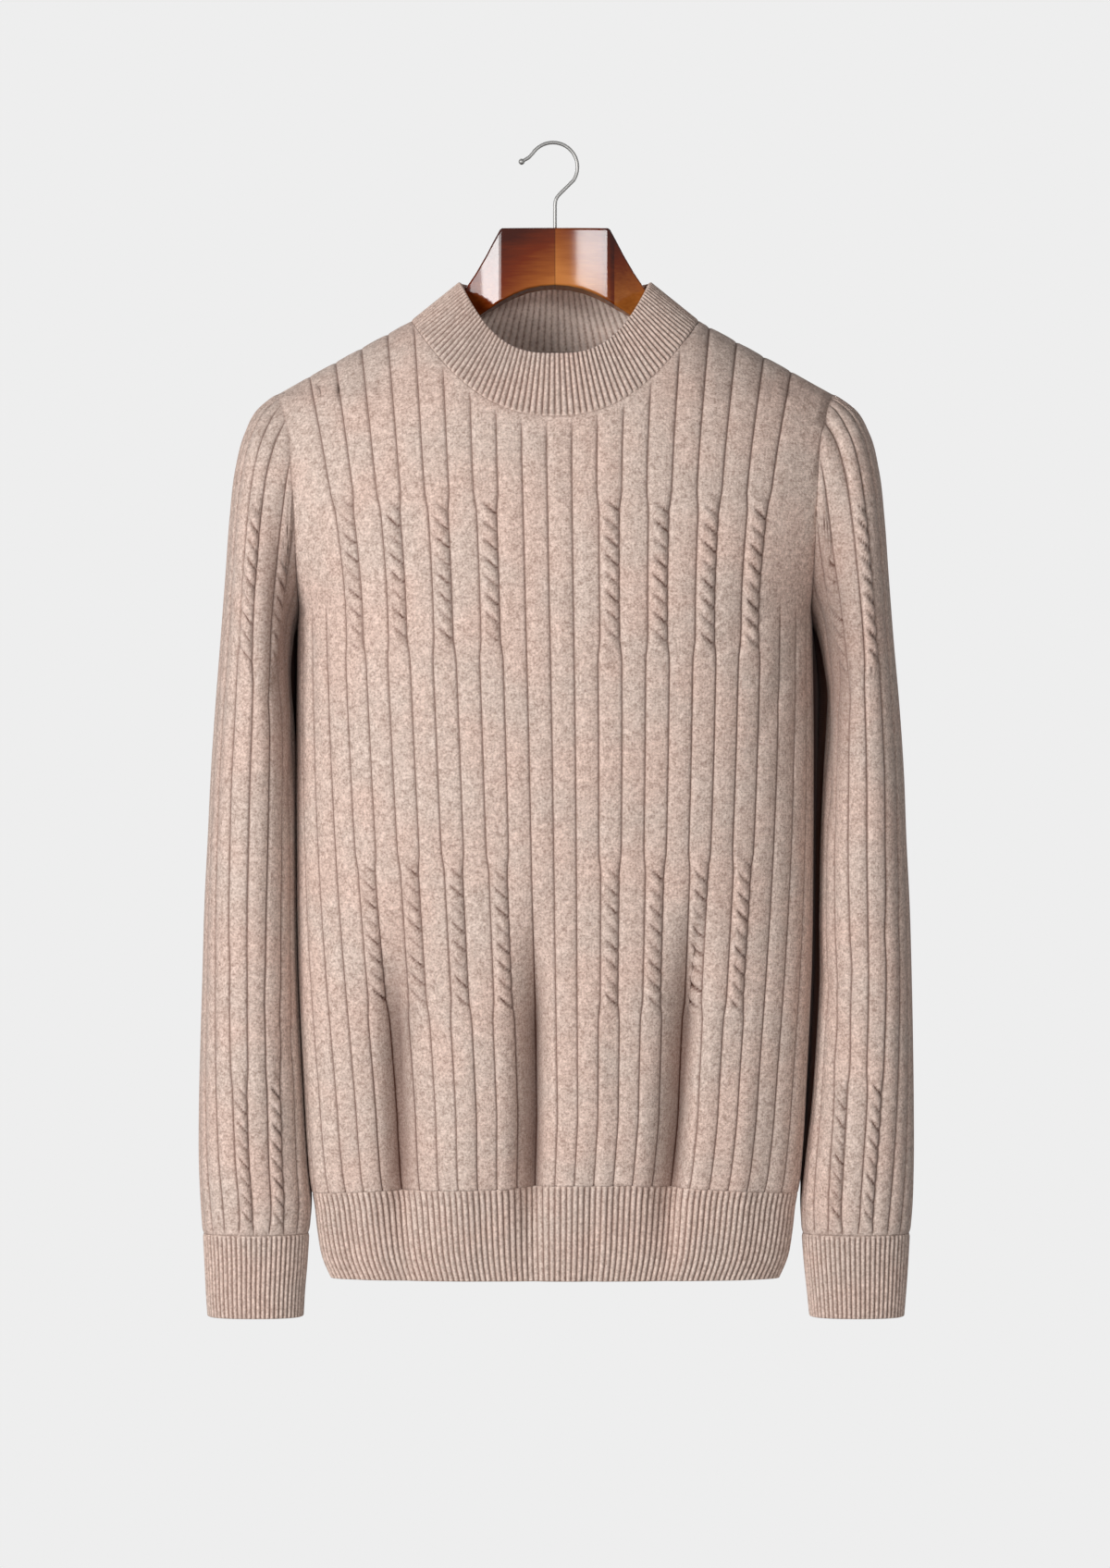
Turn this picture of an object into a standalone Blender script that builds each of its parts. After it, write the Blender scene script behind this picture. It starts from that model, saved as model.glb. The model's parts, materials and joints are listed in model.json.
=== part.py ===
"""Mock neck sweater on a wooden suit hanger.

Metres, +Z up, the front faces -Y, the wearer's left is +X. The origin is the inside of the
hook's top, where a rail carries it. Each knitted piece is a wall of yarn: a grid of points on
the sweater's form, moved out and in by half the wall. The tables are in millimetres.
"""

from collections import namedtuple

import bmesh
import bpy
import numpy as np

MM = 0.001
WALL = 2.2
SEAM = 0.3

# The armhole ring, the shoulder line and the neckline.
ARMPIT_Z = -345.0
NECK_X, NECK_Z = 105.0, -131.0
SHOULDER_X, SHOULDER_Z = 203.0, -184.0
ARMHOLE_HALF_DEPTH = 58.0
NECK_DROP = {"front": 74.0, "back": 17.0}
NECK_SHAPE = 2.3
RIDGE_RISE = 28.4

# The direction across the cloth round the neckline. It tips further up at its sides.
NECK_LEAN_OUT = 0.57
NECK_LIFT_FRONT, NECK_LIFT_SIDE = 0.42, 0.82

# How square a section is, and how the cloth rolls over the shoulder.
SQUARE = 2.6
ROLL = 2.1
SLEEVE_SQUARE = 2.3
FOLDS_FADE = 4.0

# The neckband's rim.
RIM_HALF_WIDTH = 69.0
RIM_SIDE_Z = -102.0
RIM_DROP = {"front": 56.0, "back": 0.0}
RIM_DEPTH = {"front": 64.0, "back": 50.0}
RIM_SHAPE = 2.85

# Rows and columns of the grids.
NECK_COLUMNS = 12
SHOULDER_COLUMNS = 6
NECK_SHARE = 0.45
ARMHOLE_ROWS = 9
BODY_ROWS = 11
HEM_ROWS = 3
NECKBAND_ROWS = 4

HEM_SEAM_Z, HEM_Z = -771.0, -836.0
SIDES = {"front": -1.0, "back": 1.0}

Section = namedtuple("Section", "z half_width front back")
TORSO = (
    Section(-836, 163, 38, 35),
    Section(-822, 169, 41, 38),
    Section(-800, 173, 44, 41),
    Section(-780, 175.2, 46, 43),
    Section(-764, 178.2, 49, 45),
    Section(-740, 180.3, 52, 48),
    Section(-690, 183, 57, 53),
    Section(-600, 187, 68, 63),
    Section(-520, 188, 80, 73),
    Section(-420, 188, 92, 84),
    Section(-345, 187, 100, 92),
    Section(-260, 187, 100, 96),
    Section(-100, 187, 98, 96),
)

ArmholeEdge = namedtuple("ArmholeEdge", "z x")
ARMHOLE = (
    ArmholeEdge(-345, 187),
    ArmholeEdge(-300, 188.5),
    ArmholeEdge(-250, 190.5),
    ArmholeEdge(-210, 194.5),
    ArmholeEdge(-184, 203),
)

# Each row is a ring round the arm, from its top or outer point to the point under the arm.
# left is the wearer's left sleeve, right the wearer's right one.
Ring = namedtuple("Ring", "top_z under_z left_out left_in right_out right_in half_depth back")
SLEEVE = (
    Ring(-196, -352, 219, 191.5, 217, 191, 60, 0),
    Ring(-213, -360, 229, 194, 226, 193, 62, 0),
    Ring(-240, -372, 236, 197, 233, 194.5, 64, 0),
    Ring(-275, -386, 240, 199.5, 237, 195.5, 66, 0),
    Ring(-315, -402, 243, 201.5, 240, 195, 66, 1),
    Ring(-360, -422, 246.5, 201, 243.5, 193, 65, 2),
    Ring(-410, -450, 251, 199.5, 247.5, 191.6, 63, 3),
    Ring(-460, -482, 254.5, 198, 251, 191.4, 60, 4),
    Ring(-510, -522, 256.5, 196.5, 253.5, 191.3, 57, 5),
    Ring(-560, -566, 259, 195.8, 256, 191.1, 53, 5),
    Ring(-612, -614, 260.5, 196, 257.5, 190.2, 49, 5),
    Ring(-662, -662, 261.5, 193.5, 259, 188.2, 45, 4),
    Ring(-708, -708, 262, 190, 260, 185.8, 41, 3),
    Ring(-748, -748, 262, 185.2, 260, 183.4, 37, 2),
    Ring(-780, -780, 261, 182.4, 258.6, 180.8, 33, 1),
    Ring(-800, -800, 259.3, 183, 257.2, 182.2, 30, 0),
)
CUFF = (
    Ring(-822, -822, 258, 184.6, 256, 183.6, 28, 0),
    Ring(-843, -843, 256.5, 186.8, 255, 185.4, 27, 0),
    Ring(-861, -861, 255, 188.6, 253.8, 186.4, 26, 0),
)

# A fold is a soft trough, or a ridge where its depth is below nought.
Fold = namedtuple("Fold", "side x lean top_z foot_z depth width")
FOLDS = (
    Fold("front", -22, -6, -590, -800, 6.0, 17),
    Fold("front", 84, 5, -610, -800, 5.0, 15),
    Fold("front", -118, -8, -630, -800, 4.0, 15),
    Fold("front", 32, 3, -600, -790, -3.0, 24),
    Fold("back", 30, 4, -560, -800, 5.0, 17),
    Fold("back", -80, -6, -600, -800, 5.0, 16),
    Fold("back", 122, 6, -640, -800, 4.0, 14),
)

# The hanger, in upright cuts across one arm. half_top and half_foot are half its thickness,
# and crown is how far its top rounds down to its sides.
Cut = namedtuple("Cut", "x top_z foot_z half_top half_foot crown")
HANGER = (
    Cut(0.15, -63, -105, 21, 21, 2),
    Cut(24, -63, -109, 21, 21, 2),
    Cut(40, -63, -117, 21, 21, 2),
    Cut(43, -66, -119, 16, 20, 3),
    Cut(50, -82, -123, 8, 17, 4),
    Cut(58, -95, -128, 8, 14, 5),
    Cut(66, -107, -134, 8, 13, 6),
    Cut(86, -124, -147, 10, 14, 8),
    Cut(112, -136.7, -162, 13, 17, 9),
    Cut(150, -157.1, -184, 15, 20, 10),
    Cut(180, -173, -200, 14, 20, 10),
    Cut(190, -183, -199, 7, 11, 6),
)
SEATED_FROM_X = 110.0
SEAT_GAP = 0.5
HANGER_CORNER = 0.3

# The hook's wire.
WIRE_RADIUS = 1.5
HOOK_RADIUS = 18.0
HOOK_CENTRE_X = -1.5
HOOK_FROM, HOOK_TO = -33.0, 146.0
STEM_FOOT_Z, STEM_TOP_Z = -62.6, -44.0
STEM_BEND = (2.6, -37.5)
TIP = (-24.5, -12.6)
TIP_RADIUS = 2.2

WOOL = (0.46, 0.36, 0.30)
WOOD = (0.32, 0.09, 0.03)
STEEL = (0.75, 0.75, 0.75)


# ---- curves -------------------------------------------------------------------------------


def read(table, key, column, at):
    """A smooth curve through one column of a table, read at one or many values of its key."""
    rows = sorted(table, key=lambda row: getattr(row, key))
    keys = np.array([getattr(row, key) for row in rows], float)
    values = np.array([getattr(row, column) for row in rows], float)
    slopes = np.gradient(values, keys)
    at = np.clip(np.asarray(at, float), keys[0], keys[-1])
    low = np.clip(np.searchsorted(keys, at, side="right") - 1, 0, len(keys) - 2)
    span = keys[low + 1] - keys[low]
    t = (at - keys[low]) / span
    rising = 3 * t**2 - 2 * t**3
    bend = span * (slopes[low] * (t - 2 * t**2 + t**3) + slopes[low + 1] * (t**3 - t**2))
    return values[low] * (1 - rising) + values[low + 1] * rising + bend


def oval(share, power):
    """The height of a squared oval, 1 in its middle and 0 at its ends."""
    return np.clip(1 - np.abs(share) ** power, 0, None) ** (1 / power)


def unit(vectors):
    return vectors / np.linalg.norm(vectors, axis=-1, keepdims=True)


# ---- the sweater's form -------------------------------------------------------------------


def ridge_z(x):
    """The height of the shoulder line, carried on smoothly across the neck."""
    slope = (SHOULDER_Z - NECK_Z) / (SHOULDER_X - NECK_X)
    across = NECK_Z + RIDGE_RISE * (1 - (x / NECK_X) ** 2)
    return np.where(np.abs(x) < NECK_X, across, NECK_Z + slope * (np.abs(x) - NECK_X))


def roll_of(x, z):
    """How much of its depth the cloth keeps as it rises to the shoulder line."""
    rise = (z - ARMPIT_Z) / (ridge_z(x) - ARMPIT_Z)
    return oval(np.clip(rise, 0, 1), ROLL)


def armhole_y(z):
    half = (SHOULDER_Z - ARMPIT_Z) / 2
    return ARMHOLE_HALF_DEPTH * oval((z - ARMPIT_Z - half) / half, 2)


def depth_at(side, x, z):
    """The distance of the cloth from the plane y = 0, so that it passes through the armhole."""
    full = read(TORSO, "z", side, z)
    edge = read(ARMHOLE, "z", "x", z)
    share = np.clip(armhole_y(z) / (full * np.maximum(roll_of(edge, z), 0.02)), 0, 0.97)
    width = edge / oval(share, SQUARE)
    width = np.where(z > ARMPIT_Z, width, read(TORSO, "z", "half_width", z))
    roll = np.where(z > ARMPIT_Z, roll_of(x, z), 1.0)
    return full * roll * oval(x / width, SQUARE)


def fold_at(side, x, z):
    """How far the folds press the cloth in."""
    pressed = np.zeros(np.broadcast(x, z).shape)
    for fold in FOLDS:
        if fold.side != side:
            continue
        down = np.clip((fold.top_z - z) / (fold.top_z - fold.foot_z), 0, 1)
        middle = fold.x + fold.lean * down
        pressed += fold.depth * np.sin(down * np.pi / 2) ** 2 * np.exp(-(((x - middle) / fold.width) ** 2))
    return pressed


def neckline_z(side, x):
    return NECK_Z - NECK_DROP[side] * (1 - np.abs(x / NECK_X) ** NECK_SHAPE)


def column_shares():
    """Where the columns stand on a half section, as shares of its length, side seam to side seam."""
    inner = np.linspace(0, NECK_SHARE, NECK_COLUMNS // 2 + 1)
    outer = np.linspace(NECK_SHARE, 1, SHOULDER_COLUMNS + 1)[1:]
    half = np.concatenate([inner, outer])
    return np.concatenate([-half[:0:-1], half])


def section_x(side, z, shares):
    """The x of points that share out one section's length."""
    turn = np.linspace(0, np.pi / 2, 200)
    half_width = read(TORSO, "z", "half_width", z)
    x = half_width * np.sin(turn) ** (2 / SQUARE)
    y = read(TORSO, "z", side, z) * np.cos(turn) ** (2 / SQUARE)
    length = np.concatenate([[0], np.cumsum(np.hypot(np.diff(x), np.diff(y)))])
    return np.sign(shares) * np.interp(np.abs(shares) * length[-1], length, x)


def top_edge(side):
    """The shoulder seams and the neckline between them, as x and z."""
    neck = NECK_X * np.sin(np.linspace(-np.pi / 2, np.pi / 2, NECK_COLUMNS + 1))
    shoulder = np.linspace(NECK_X, SHOULDER_X, SHOULDER_COLUMNS + 1)[1:]
    x = np.concatenate([-shoulder[::-1], neck, shoulder])
    z = np.where(np.abs(x) < NECK_X, neckline_z(side, x), ridge_z(x))
    return np.stack([x, z], axis=-1)


def armhole_edge():
    """The armhole from the armpit to the shoulder, as x and z."""
    turn = np.linspace(0, np.pi, ARMHOLE_ROWS + 1)
    z = ARMPIT_Z + (SHOULDER_Z - ARMPIT_Z) * (1 - np.cos(turn)) / 2
    return np.stack([read(ARMHOLE, "z", "x", z), z], axis=-1)


def upper_net(side):
    """The x and z of the net above the armpits, filled in between its four edges."""
    foot_x = section_x(side, ARMPIT_Z, column_shares())
    foot = np.stack([foot_x, np.full_like(foot_x, ARMPIT_Z)], axis=-1)[None]
    top = top_edge(side)[None]
    right = armhole_edge()[:, None]
    left = right * [-1, 1]
    u = ((foot_x / foot_x[-1] + 1) / 2)[None, :, None]
    v = ((1 - np.cos(np.linspace(0, np.pi, ARMHOLE_ROWS + 1))) / 2)[:, None, None]
    corners = (1 - v) * ((1 - u) * left[:1] + u * right[:1]) + v * ((1 - u) * left[-1:] + u * right[-1:])
    return (1 - v) * foot + v * top + (1 - u) * left + u * right - corners


def panel_grid(side):
    """The panel with its share of the hem rib, row by row from the hem up, and its outward vectors."""
    shares = column_shares()
    hem = np.linspace(HEM_Z, HEM_SEAM_Z, HEM_ROWS + 1)
    body = np.linspace(HEM_SEAM_Z, ARMPIT_Z, BODY_ROWS + 1)[1:-1]
    lower_z = np.concatenate([hem, body])
    lower_x = np.stack([section_x(side, z, shares) for z in lower_z])
    upper = upper_net(side)
    x = np.concatenate([lower_x, upper[..., 0]])
    z = np.concatenate([np.repeat(lower_z[:, None], len(shares), axis=1), upper[..., 1]])
    depth = depth_at(side, x, z)
    edges = oval(x / np.max(np.abs(x), axis=1, keepdims=True), FOLDS_FADE)
    y = SIDES[side] * (depth - fold_at(side, x, z) * edges)
    grid = np.stack([x, y, z], axis=-1)
    return grid, panel_vectors(side, grid)


def net_vectors(grid, outward):
    """The direction across the cloth at each point of a grid."""
    along = np.gradient(grid, axis=1)
    up = np.gradient(grid, axis=0)
    return outward * unit(np.cross(along, up))


def panel_vectors(side, grid):
    """The panel's vectors. Where two pieces meet, both use the seam's own."""
    vectors = net_vectors(grid, -SIDES[side])
    armpit = HEM_ROWS + BODY_ROWS
    vectors[:armpit, 0] = (-1, 0, 0)
    vectors[:armpit, -1] = (1, 0, 0)
    vectors[armpit:, -1] = armhole_vectors(side)
    vectors[armpit:, 0] = armhole_vectors(side) * [-1, 1, 1]
    ridge = unit(np.array([NECK_Z - SHOULDER_Z, 0.0, SHOULDER_X - NECK_X]))
    vectors[-1, :SHOULDER_COLUMNS] = ridge * [-1, 1, 1]
    vectors[-1, -SHOULDER_COLUMNS:] = ridge
    neck = slice(SHOULDER_COLUMNS, SHOULDER_COLUMNS + NECK_COLUMNS + 1)
    vectors[-1, neck] = neck_vectors(grid[-1, neck])
    return vectors


def armhole_vectors(side):
    """Down at the armpit, forward or back at mid height, and square to the shoulder at the top."""
    turn = np.linspace(0, np.pi, ARMHOLE_ROWS + 1)
    slope = (NECK_Z - SHOULDER_Z) / (SHOULDER_X - NECK_X)
    out = slope * (1 - np.cos(turn)) / 2
    return unit(np.stack([out, SIDES[side] * np.sin(turn), -np.cos(turn)], axis=-1))


def neck_vectors(points):
    """Between the lie of the panel and that of the neckband."""
    sideways = points[:, 0] / NECK_X
    forward = points[:, 1] / np.max(np.abs(points[:, 1]))
    lift = NECK_LIFT_FRONT + (NECK_LIFT_SIDE - NECK_LIFT_FRONT) * sideways**2
    return unit(np.stack([NECK_LEAN_OUT * sideways, forward, lift], axis=-1))


# ---- tubes --------------------------------------------------------------------------------


def ring_of(front, back):
    """A closed ring from a front run and a back run that share their two ends."""
    return np.concatenate([front, back[-2:0:-1]])


def sleeve_ring(row, wearer):
    """One ring of a sleeve, from under the arm, up the front and down the back."""
    turn = np.linspace(0, 2 * np.pi, 2 * ARMHOLE_ROWS + 1)[:-1]
    up = -np.sign(np.cos(turn)) * np.abs(np.cos(turn)) ** (2 / SLEEVE_SQUARE)
    forward = np.sign(np.sin(turn)) * np.abs(np.sin(turn)) ** (2 / SLEEVE_SQUARE)
    out = getattr(row, wearer + "_out")
    inner = getattr(row, wearer + "_in")
    x = (out + inner) / 2 + up * (out - inner) / 2
    y = row.back - forward * row.half_depth
    z = (row.top_z + row.under_z) / 2 + up * (row.top_z - row.under_z) / 2
    return np.stack([x, y, z], axis=-1)


def tube_vectors(grid, outward):
    wrapped = np.concatenate([grid[:, -1:], grid, grid[:, :1]], axis=1)
    return net_vectors(wrapped, outward)[:, 1:-1]


def sleeve_grid(wearer):
    """The sleeve with its cuff, from the armhole down, and its outward vectors."""
    edge = armhole_edge()
    y = armhole_y(edge[:, 1])
    front = np.stack([edge[:, 0], -y, edge[:, 1]], axis=-1)
    back = front * [1, -1, 1]
    rings = [ring_of(front, back)]
    rings += [sleeve_ring(row, wearer) for row in SLEEVE + CUFF]
    grid = np.stack(rings)
    vectors = tube_vectors(grid, 1.0)
    vectors[0] = ring_of(armhole_vectors("front"), armhole_vectors("back"))
    mirror = np.array([1, 1, 1]) if wearer == "left" else np.array([-1, 1, 1])
    return grid * mirror, vectors * mirror


def rim_run(side, x_shares):
    """The neckband's rim on one side, from the wearer's right to the left."""
    x = RIM_HALF_WIDTH * x_shares
    y = SIDES[side] * RIM_DEPTH[side] * oval(x_shares, 2)
    z = RIM_SIDE_Z - RIM_DROP[side] * (1 - np.abs(x_shares) ** RIM_SHAPE)
    return np.stack([x, y, z], axis=-1)


def neckband_grid(front, back):
    """The neckband from the neckline to its rim, and its outward vectors."""
    neck = slice(SHOULDER_COLUMNS, SHOULDER_COLUMNS + NECK_COLUMNS + 1)
    foot = ring_of(front[-1, neck], back[-1, neck])
    shares = np.sin(np.linspace(-np.pi / 2, np.pi / 2, NECK_COLUMNS + 1))
    rim = ring_of(rim_run("front", shares), rim_run("back", shares))
    steps = np.linspace(0, 1, NECKBAND_ROWS + 1)[:, None, None]
    grid = foot * (1 - steps) + rim * steps
    vectors = tube_vectors(grid, 1.0)
    vectors[0] = ring_of(neck_vectors(front[-1, neck]), neck_vectors(back[-1, neck]))
    return grid, vectors


# ---- solids -------------------------------------------------------------------------------


def draw_in(grid, rows=(), columns=()):
    """Move the named edge rows and columns half a seam's gap into the piece."""
    grid = grid.copy()
    for row in rows:
        inner = 1 if row == 0 else -2
        grid[row] += SEAM / 2 * unit(grid[inner] - grid[row])
    for column in columns:
        inner = 1 if column == 0 else -2
        grid[:, column] += SEAM / 2 * unit(grid[:, inner] - grid[:, column])
    return grid


def wall_faces(rows, columns, closed):
    """Quads for the outer and inner layers of a grid, and for its open edges."""
    count = rows * columns
    across = columns if closed else columns - 1
    faces = []
    for row in range(rows - 1):
        for column in range(across):
            a = row * columns + column
            b = row * columns + (column + 1) % columns
            faces.append((a, b, b + columns, a + columns))
            faces.append((count + a + columns, count + b + columns, count + b, count + a))
    for column in range(across):
        for row in (0, rows - 1):
            a = row * columns + column
            b = row * columns + (column + 1) % columns
            faces.append((a, b, count + b, count + a))
    if not closed:
        for row in range(rows - 1):
            for column in (0, columns - 1):
                a = row * columns + column
                faces.append((a, a + columns, count + a + columns, count + a))
    return faces


def add_mesh(name, points, faces, colour, roughness):
    """An object from points in millimetres, its faces turned out."""
    mesh = bpy.data.meshes.new(name)
    mesh.from_pydata([tuple(point * MM) for point in points], [], faces)
    shape = bmesh.new()
    shape.from_mesh(mesh)
    bmesh.ops.recalc_face_normals(shape, faces=shape.faces)
    shape.to_mesh(mesh)
    shape.free()
    mesh.shade_smooth()
    thing = bpy.data.objects.new(name, mesh)
    COLLECTION.objects.link(thing)
    give_material(thing, colour, roughness, 0.0)
    return thing


def give_material(thing, colour, roughness, metallic):
    material = bpy.data.materials.new(thing.name)
    material.use_nodes = True
    shader = material.node_tree.nodes["Principled BSDF"]
    shader.inputs["Base Color"].default_value = (*colour, 1.0)
    shader.inputs["Roughness"].default_value = roughness
    shader.inputs["Metallic"].default_value = metallic
    thing.data.materials.clear()
    thing.data.materials.append(material)


def knit(name, grid, vectors, closed):
    """A knitted piece: the grid moved out and in by half the wall."""
    rows, columns = grid.shape[:2]
    outer = (grid + vectors * WALL / 2).reshape(-1, 3)
    inner = (grid - vectors * WALL / 2).reshape(-1, 3)
    points = np.concatenate([outer, inner])
    return add_mesh(name, points, wall_faces(rows, columns, closed), WOOL, 0.95)


def make_body():
    """Front, back, and the hem rib that closes round both."""
    front, front_vectors = panel_grid("front")
    back, back_vectors = panel_grid("back")
    for name, grid, vectors in (("front", front, front_vectors), ("back", back, back_vectors)):
        panel = draw_in(grid[HEM_ROWS:], rows=(0, -1), columns=(0, -1))
        knit(name, panel, vectors[HEM_ROWS:], closed=False)
    rows = slice(0, HEM_ROWS + 1)
    hem = np.stack([ring_of(f, b) for f, b in zip(front[rows], back[rows])])
    hem_vectors = np.stack([ring_of(f, b) for f, b in zip(front_vectors[rows], back_vectors[rows])])
    knit("hem_rib", draw_in(hem, rows=(-1,)), hem_vectors, closed=True)
    band, band_vectors = neckband_grid(front, back)
    knit("neckband", draw_in(band, rows=(0,)), band_vectors, closed=True)


def make_sleeves():
    """Each sleeve, and the cuff that goes on from its last ring."""
    for wearer in ("left", "right"):
        grid, vectors = sleeve_grid(wearer)
        cut = len(SLEEVE)
        sleeve = draw_in(grid[: cut + 1], rows=(0, -1))
        knit("sleeve_" + wearer, sleeve, vectors[: cut + 1], closed=True)
        knit("cuff_" + wearer, draw_in(grid[cut:], rows=(0,)), vectors[cut:], closed=True)


def seated_top(cut):
    """The arm's top, just under the shoulder's cloth where it carries it."""
    if cut.x < SEATED_FROM_X or cut is HANGER[-1]:
        return cut.top_z
    slope = (SHOULDER_Z - NECK_Z) / (SHOULDER_X - NECK_X)
    return float(ridge_z(cut.x)) - (WALL / 2 + SEAT_GAP) * np.hypot(1, slope)


def hanger_cut(cut):
    """One upright cut of the arm: a crowned top, sides that lean out, and eased lower corners."""
    top, foot = seated_top(cut), cut.foot_z
    ease = HANGER_CORNER * cut.half_foot
    half = [
        (0.0, top),
        (cut.half_top * 0.55, top - cut.crown / 4),
        (cut.half_top, top - cut.crown),
        (cut.half_foot, foot + ease),
        (cut.half_foot - ease, foot),
    ]
    other = [(-y, z) for y, z in half[:0:-1]]
    return [(cut.x, y, z) for y, z in half + other]


def make_hanger():
    """Two halves of the wooden hanger, glued in the middle."""
    sections = np.array([hanger_cut(cut) for cut in HANGER])
    rows, columns = sections.shape[:2]
    faces = [tuple(range(columns)), tuple(range((rows - 1) * columns, rows * columns))]
    for row in range(rows - 1):
        for column in range(columns):
            a = row * columns + column
            b = row * columns + (column + 1) % columns
            faces.append((a, b, b + columns, a + columns))
    points = sections.reshape(-1, 3)
    add_mesh("hanger_left", points, faces, WOOD, 0.2)
    add_mesh("hanger_right", points * [-1, 1, 1], faces, WOOD, 0.2)


def make_hook():
    """A bent steel wire with a bead on its tip."""
    turn = np.radians(np.linspace(HOOK_FROM, HOOK_TO, 19))
    arc_x = HOOK_CENTRE_X + HOOK_RADIUS * np.cos(turn)
    arc_z = WIRE_RADIUS - HOOK_RADIUS + HOOK_RADIUS * np.sin(turn)
    route = [(0.0, STEM_FOOT_Z), (0.0, STEM_TOP_Z), STEM_BEND, *zip(arc_x, arc_z), TIP]
    curve = bpy.data.curves.new("hook", "CURVE")
    curve.dimensions = "3D"
    curve.bevel_depth = WIRE_RADIUS * MM
    curve.bevel_resolution = 2
    curve.use_fill_caps = True
    spline = curve.splines.new("POLY")
    spline.points.add(len(route) - 1)
    for point, (x, z) in zip(spline.points, route):
        point.co = (x * MM, 0.0, z * MM, 1.0)
    wire = bpy.data.objects.new("wire", curve)
    COLLECTION.objects.link(wire)
    bpy.context.view_layer.update()
    mesh = bpy.data.meshes.new_from_object(wire.evaluated_get(bpy.context.evaluated_depsgraph_get()))
    bpy.data.objects.remove(wire)
    shape = bmesh.new()
    shape.from_mesh(mesh)
    bmesh.ops.remove_doubles(shape, verts=shape.verts, dist=0.01 * MM)
    shape.to_mesh(mesh)
    shape.free()
    hook = bpy.data.objects.new("hook", mesh)
    COLLECTION.objects.link(hook)
    add_bead(hook)
    give_material(hook, STEEL, 0.15, 1.0)


def add_bead(hook):
    """Join a ball to the wire's tip."""
    ball_mesh = bpy.data.meshes.new("hook_bead_cutter")
    shape = bmesh.new()
    bmesh.ops.create_uvsphere(shape, u_segments=12, v_segments=8, radius=TIP_RADIUS * MM)
    shape.to_mesh(ball_mesh)
    shape.free()
    ball = bpy.data.objects.new("hook_bead_cutter", ball_mesh)
    ball.location = (TIP[0] * MM, 0.0, TIP[1] * MM)
    ball.hide_render = True
    ball.display_type = "WIRE"
    CUTTERS.objects.link(ball)
    union = hook.modifiers.new("bead", "BOOLEAN")
    union.operation = "UNION"
    union.object = ball


for old in list(bpy.data.objects):
    bpy.data.objects.remove(old)
COLLECTION = bpy.data.collections.new("mock_neck_sweater")
CUTTERS = bpy.data.collections.new("cutters")
bpy.context.scene.collection.children.link(COLLECTION)
bpy.context.scene.collection.children.link(CUTTERS)

make_body()
make_sleeves()
make_hanger()
make_hook()
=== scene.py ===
# %% [markdown]
# # A mock neck sweater on its hanger
# A fully fashioned sweater in heathered wool hangs on a shaped wooden hanger with a steel hook.
# The knitted pieces have wide flat ribs parted by one purl column, and two bands of rope cables.
# A frame of plain solids gives every piece its size and place. This lesson dresses that frame:
# it lays a fine net of points on the sweater's form, raises the ribs and cables on it, gives it
# a wall, and finishes wool, wood and steel with procedural materials.

import json
from collections import namedtuple

import bmesh
import bpy
import numpy as np
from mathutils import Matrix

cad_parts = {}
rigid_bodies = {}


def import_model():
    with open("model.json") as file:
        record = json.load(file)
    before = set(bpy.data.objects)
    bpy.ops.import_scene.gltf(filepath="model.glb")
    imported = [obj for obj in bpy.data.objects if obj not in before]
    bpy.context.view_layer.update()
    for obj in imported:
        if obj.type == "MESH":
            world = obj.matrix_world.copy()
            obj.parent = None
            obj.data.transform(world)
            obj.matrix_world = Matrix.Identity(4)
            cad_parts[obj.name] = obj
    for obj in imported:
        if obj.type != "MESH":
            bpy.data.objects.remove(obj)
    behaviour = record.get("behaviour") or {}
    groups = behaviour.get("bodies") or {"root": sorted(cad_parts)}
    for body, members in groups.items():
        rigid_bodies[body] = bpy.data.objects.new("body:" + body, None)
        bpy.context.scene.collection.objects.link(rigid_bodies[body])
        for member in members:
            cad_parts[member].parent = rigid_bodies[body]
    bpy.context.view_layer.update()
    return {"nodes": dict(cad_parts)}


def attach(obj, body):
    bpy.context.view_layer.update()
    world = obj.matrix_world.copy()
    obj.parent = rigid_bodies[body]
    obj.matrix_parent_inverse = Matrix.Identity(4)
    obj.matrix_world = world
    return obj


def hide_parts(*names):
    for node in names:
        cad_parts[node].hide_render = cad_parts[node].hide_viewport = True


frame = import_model()
print("frame nodes:", ", ".join(sorted(frame["nodes"])))

# %% [markdown]
# ## The camera and the light
# The sweater is seen square from the front, from the height of its middle, with a long lens,
# so that it keeps its proportions. The key, a large soft lamp on the left, grazes the ribs and
# models them. The strip beside it and the small card on the right shine in the varnish. The
# bounce near the camera and the weak fill on the right soften the shadows, and the back lamp
# keeps the far side from going dark. The world is a plain dim grey.

# %% Camera
MM = 0.001
FIELD_HEIGHT = 1.1526
CAMERA_DISTANCE = 4.2
CAMERA_Z = -0.470
SENSOR = 36.0


def place_object(name, data):
    """A new object of the scene, made of the data given."""
    thing = bpy.data.objects.new(name, data)
    bpy.context.scene.collection.objects.link(thing)
    return thing


def add_camera():
    """A level camera whose upright field is FIELD_HEIGHT at the sweater's middle plane."""
    lens = SENSOR * CAMERA_DISTANCE / FIELD_HEIGHT
    data = bpy.data.cameras.new("camera")
    data.sensor_width = SENSOR
    data.lens = lens
    camera = place_object("camera", data)
    camera.location = (0.0, -CAMERA_DISTANCE, CAMERA_Z)
    camera.rotation_euler = (np.pi / 2, 0.0, 0.0)
    bpy.context.scene.camera = camera
    return camera


camera = add_camera()
print("lens:", round(camera.data.lens, 1), "mm")

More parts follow.
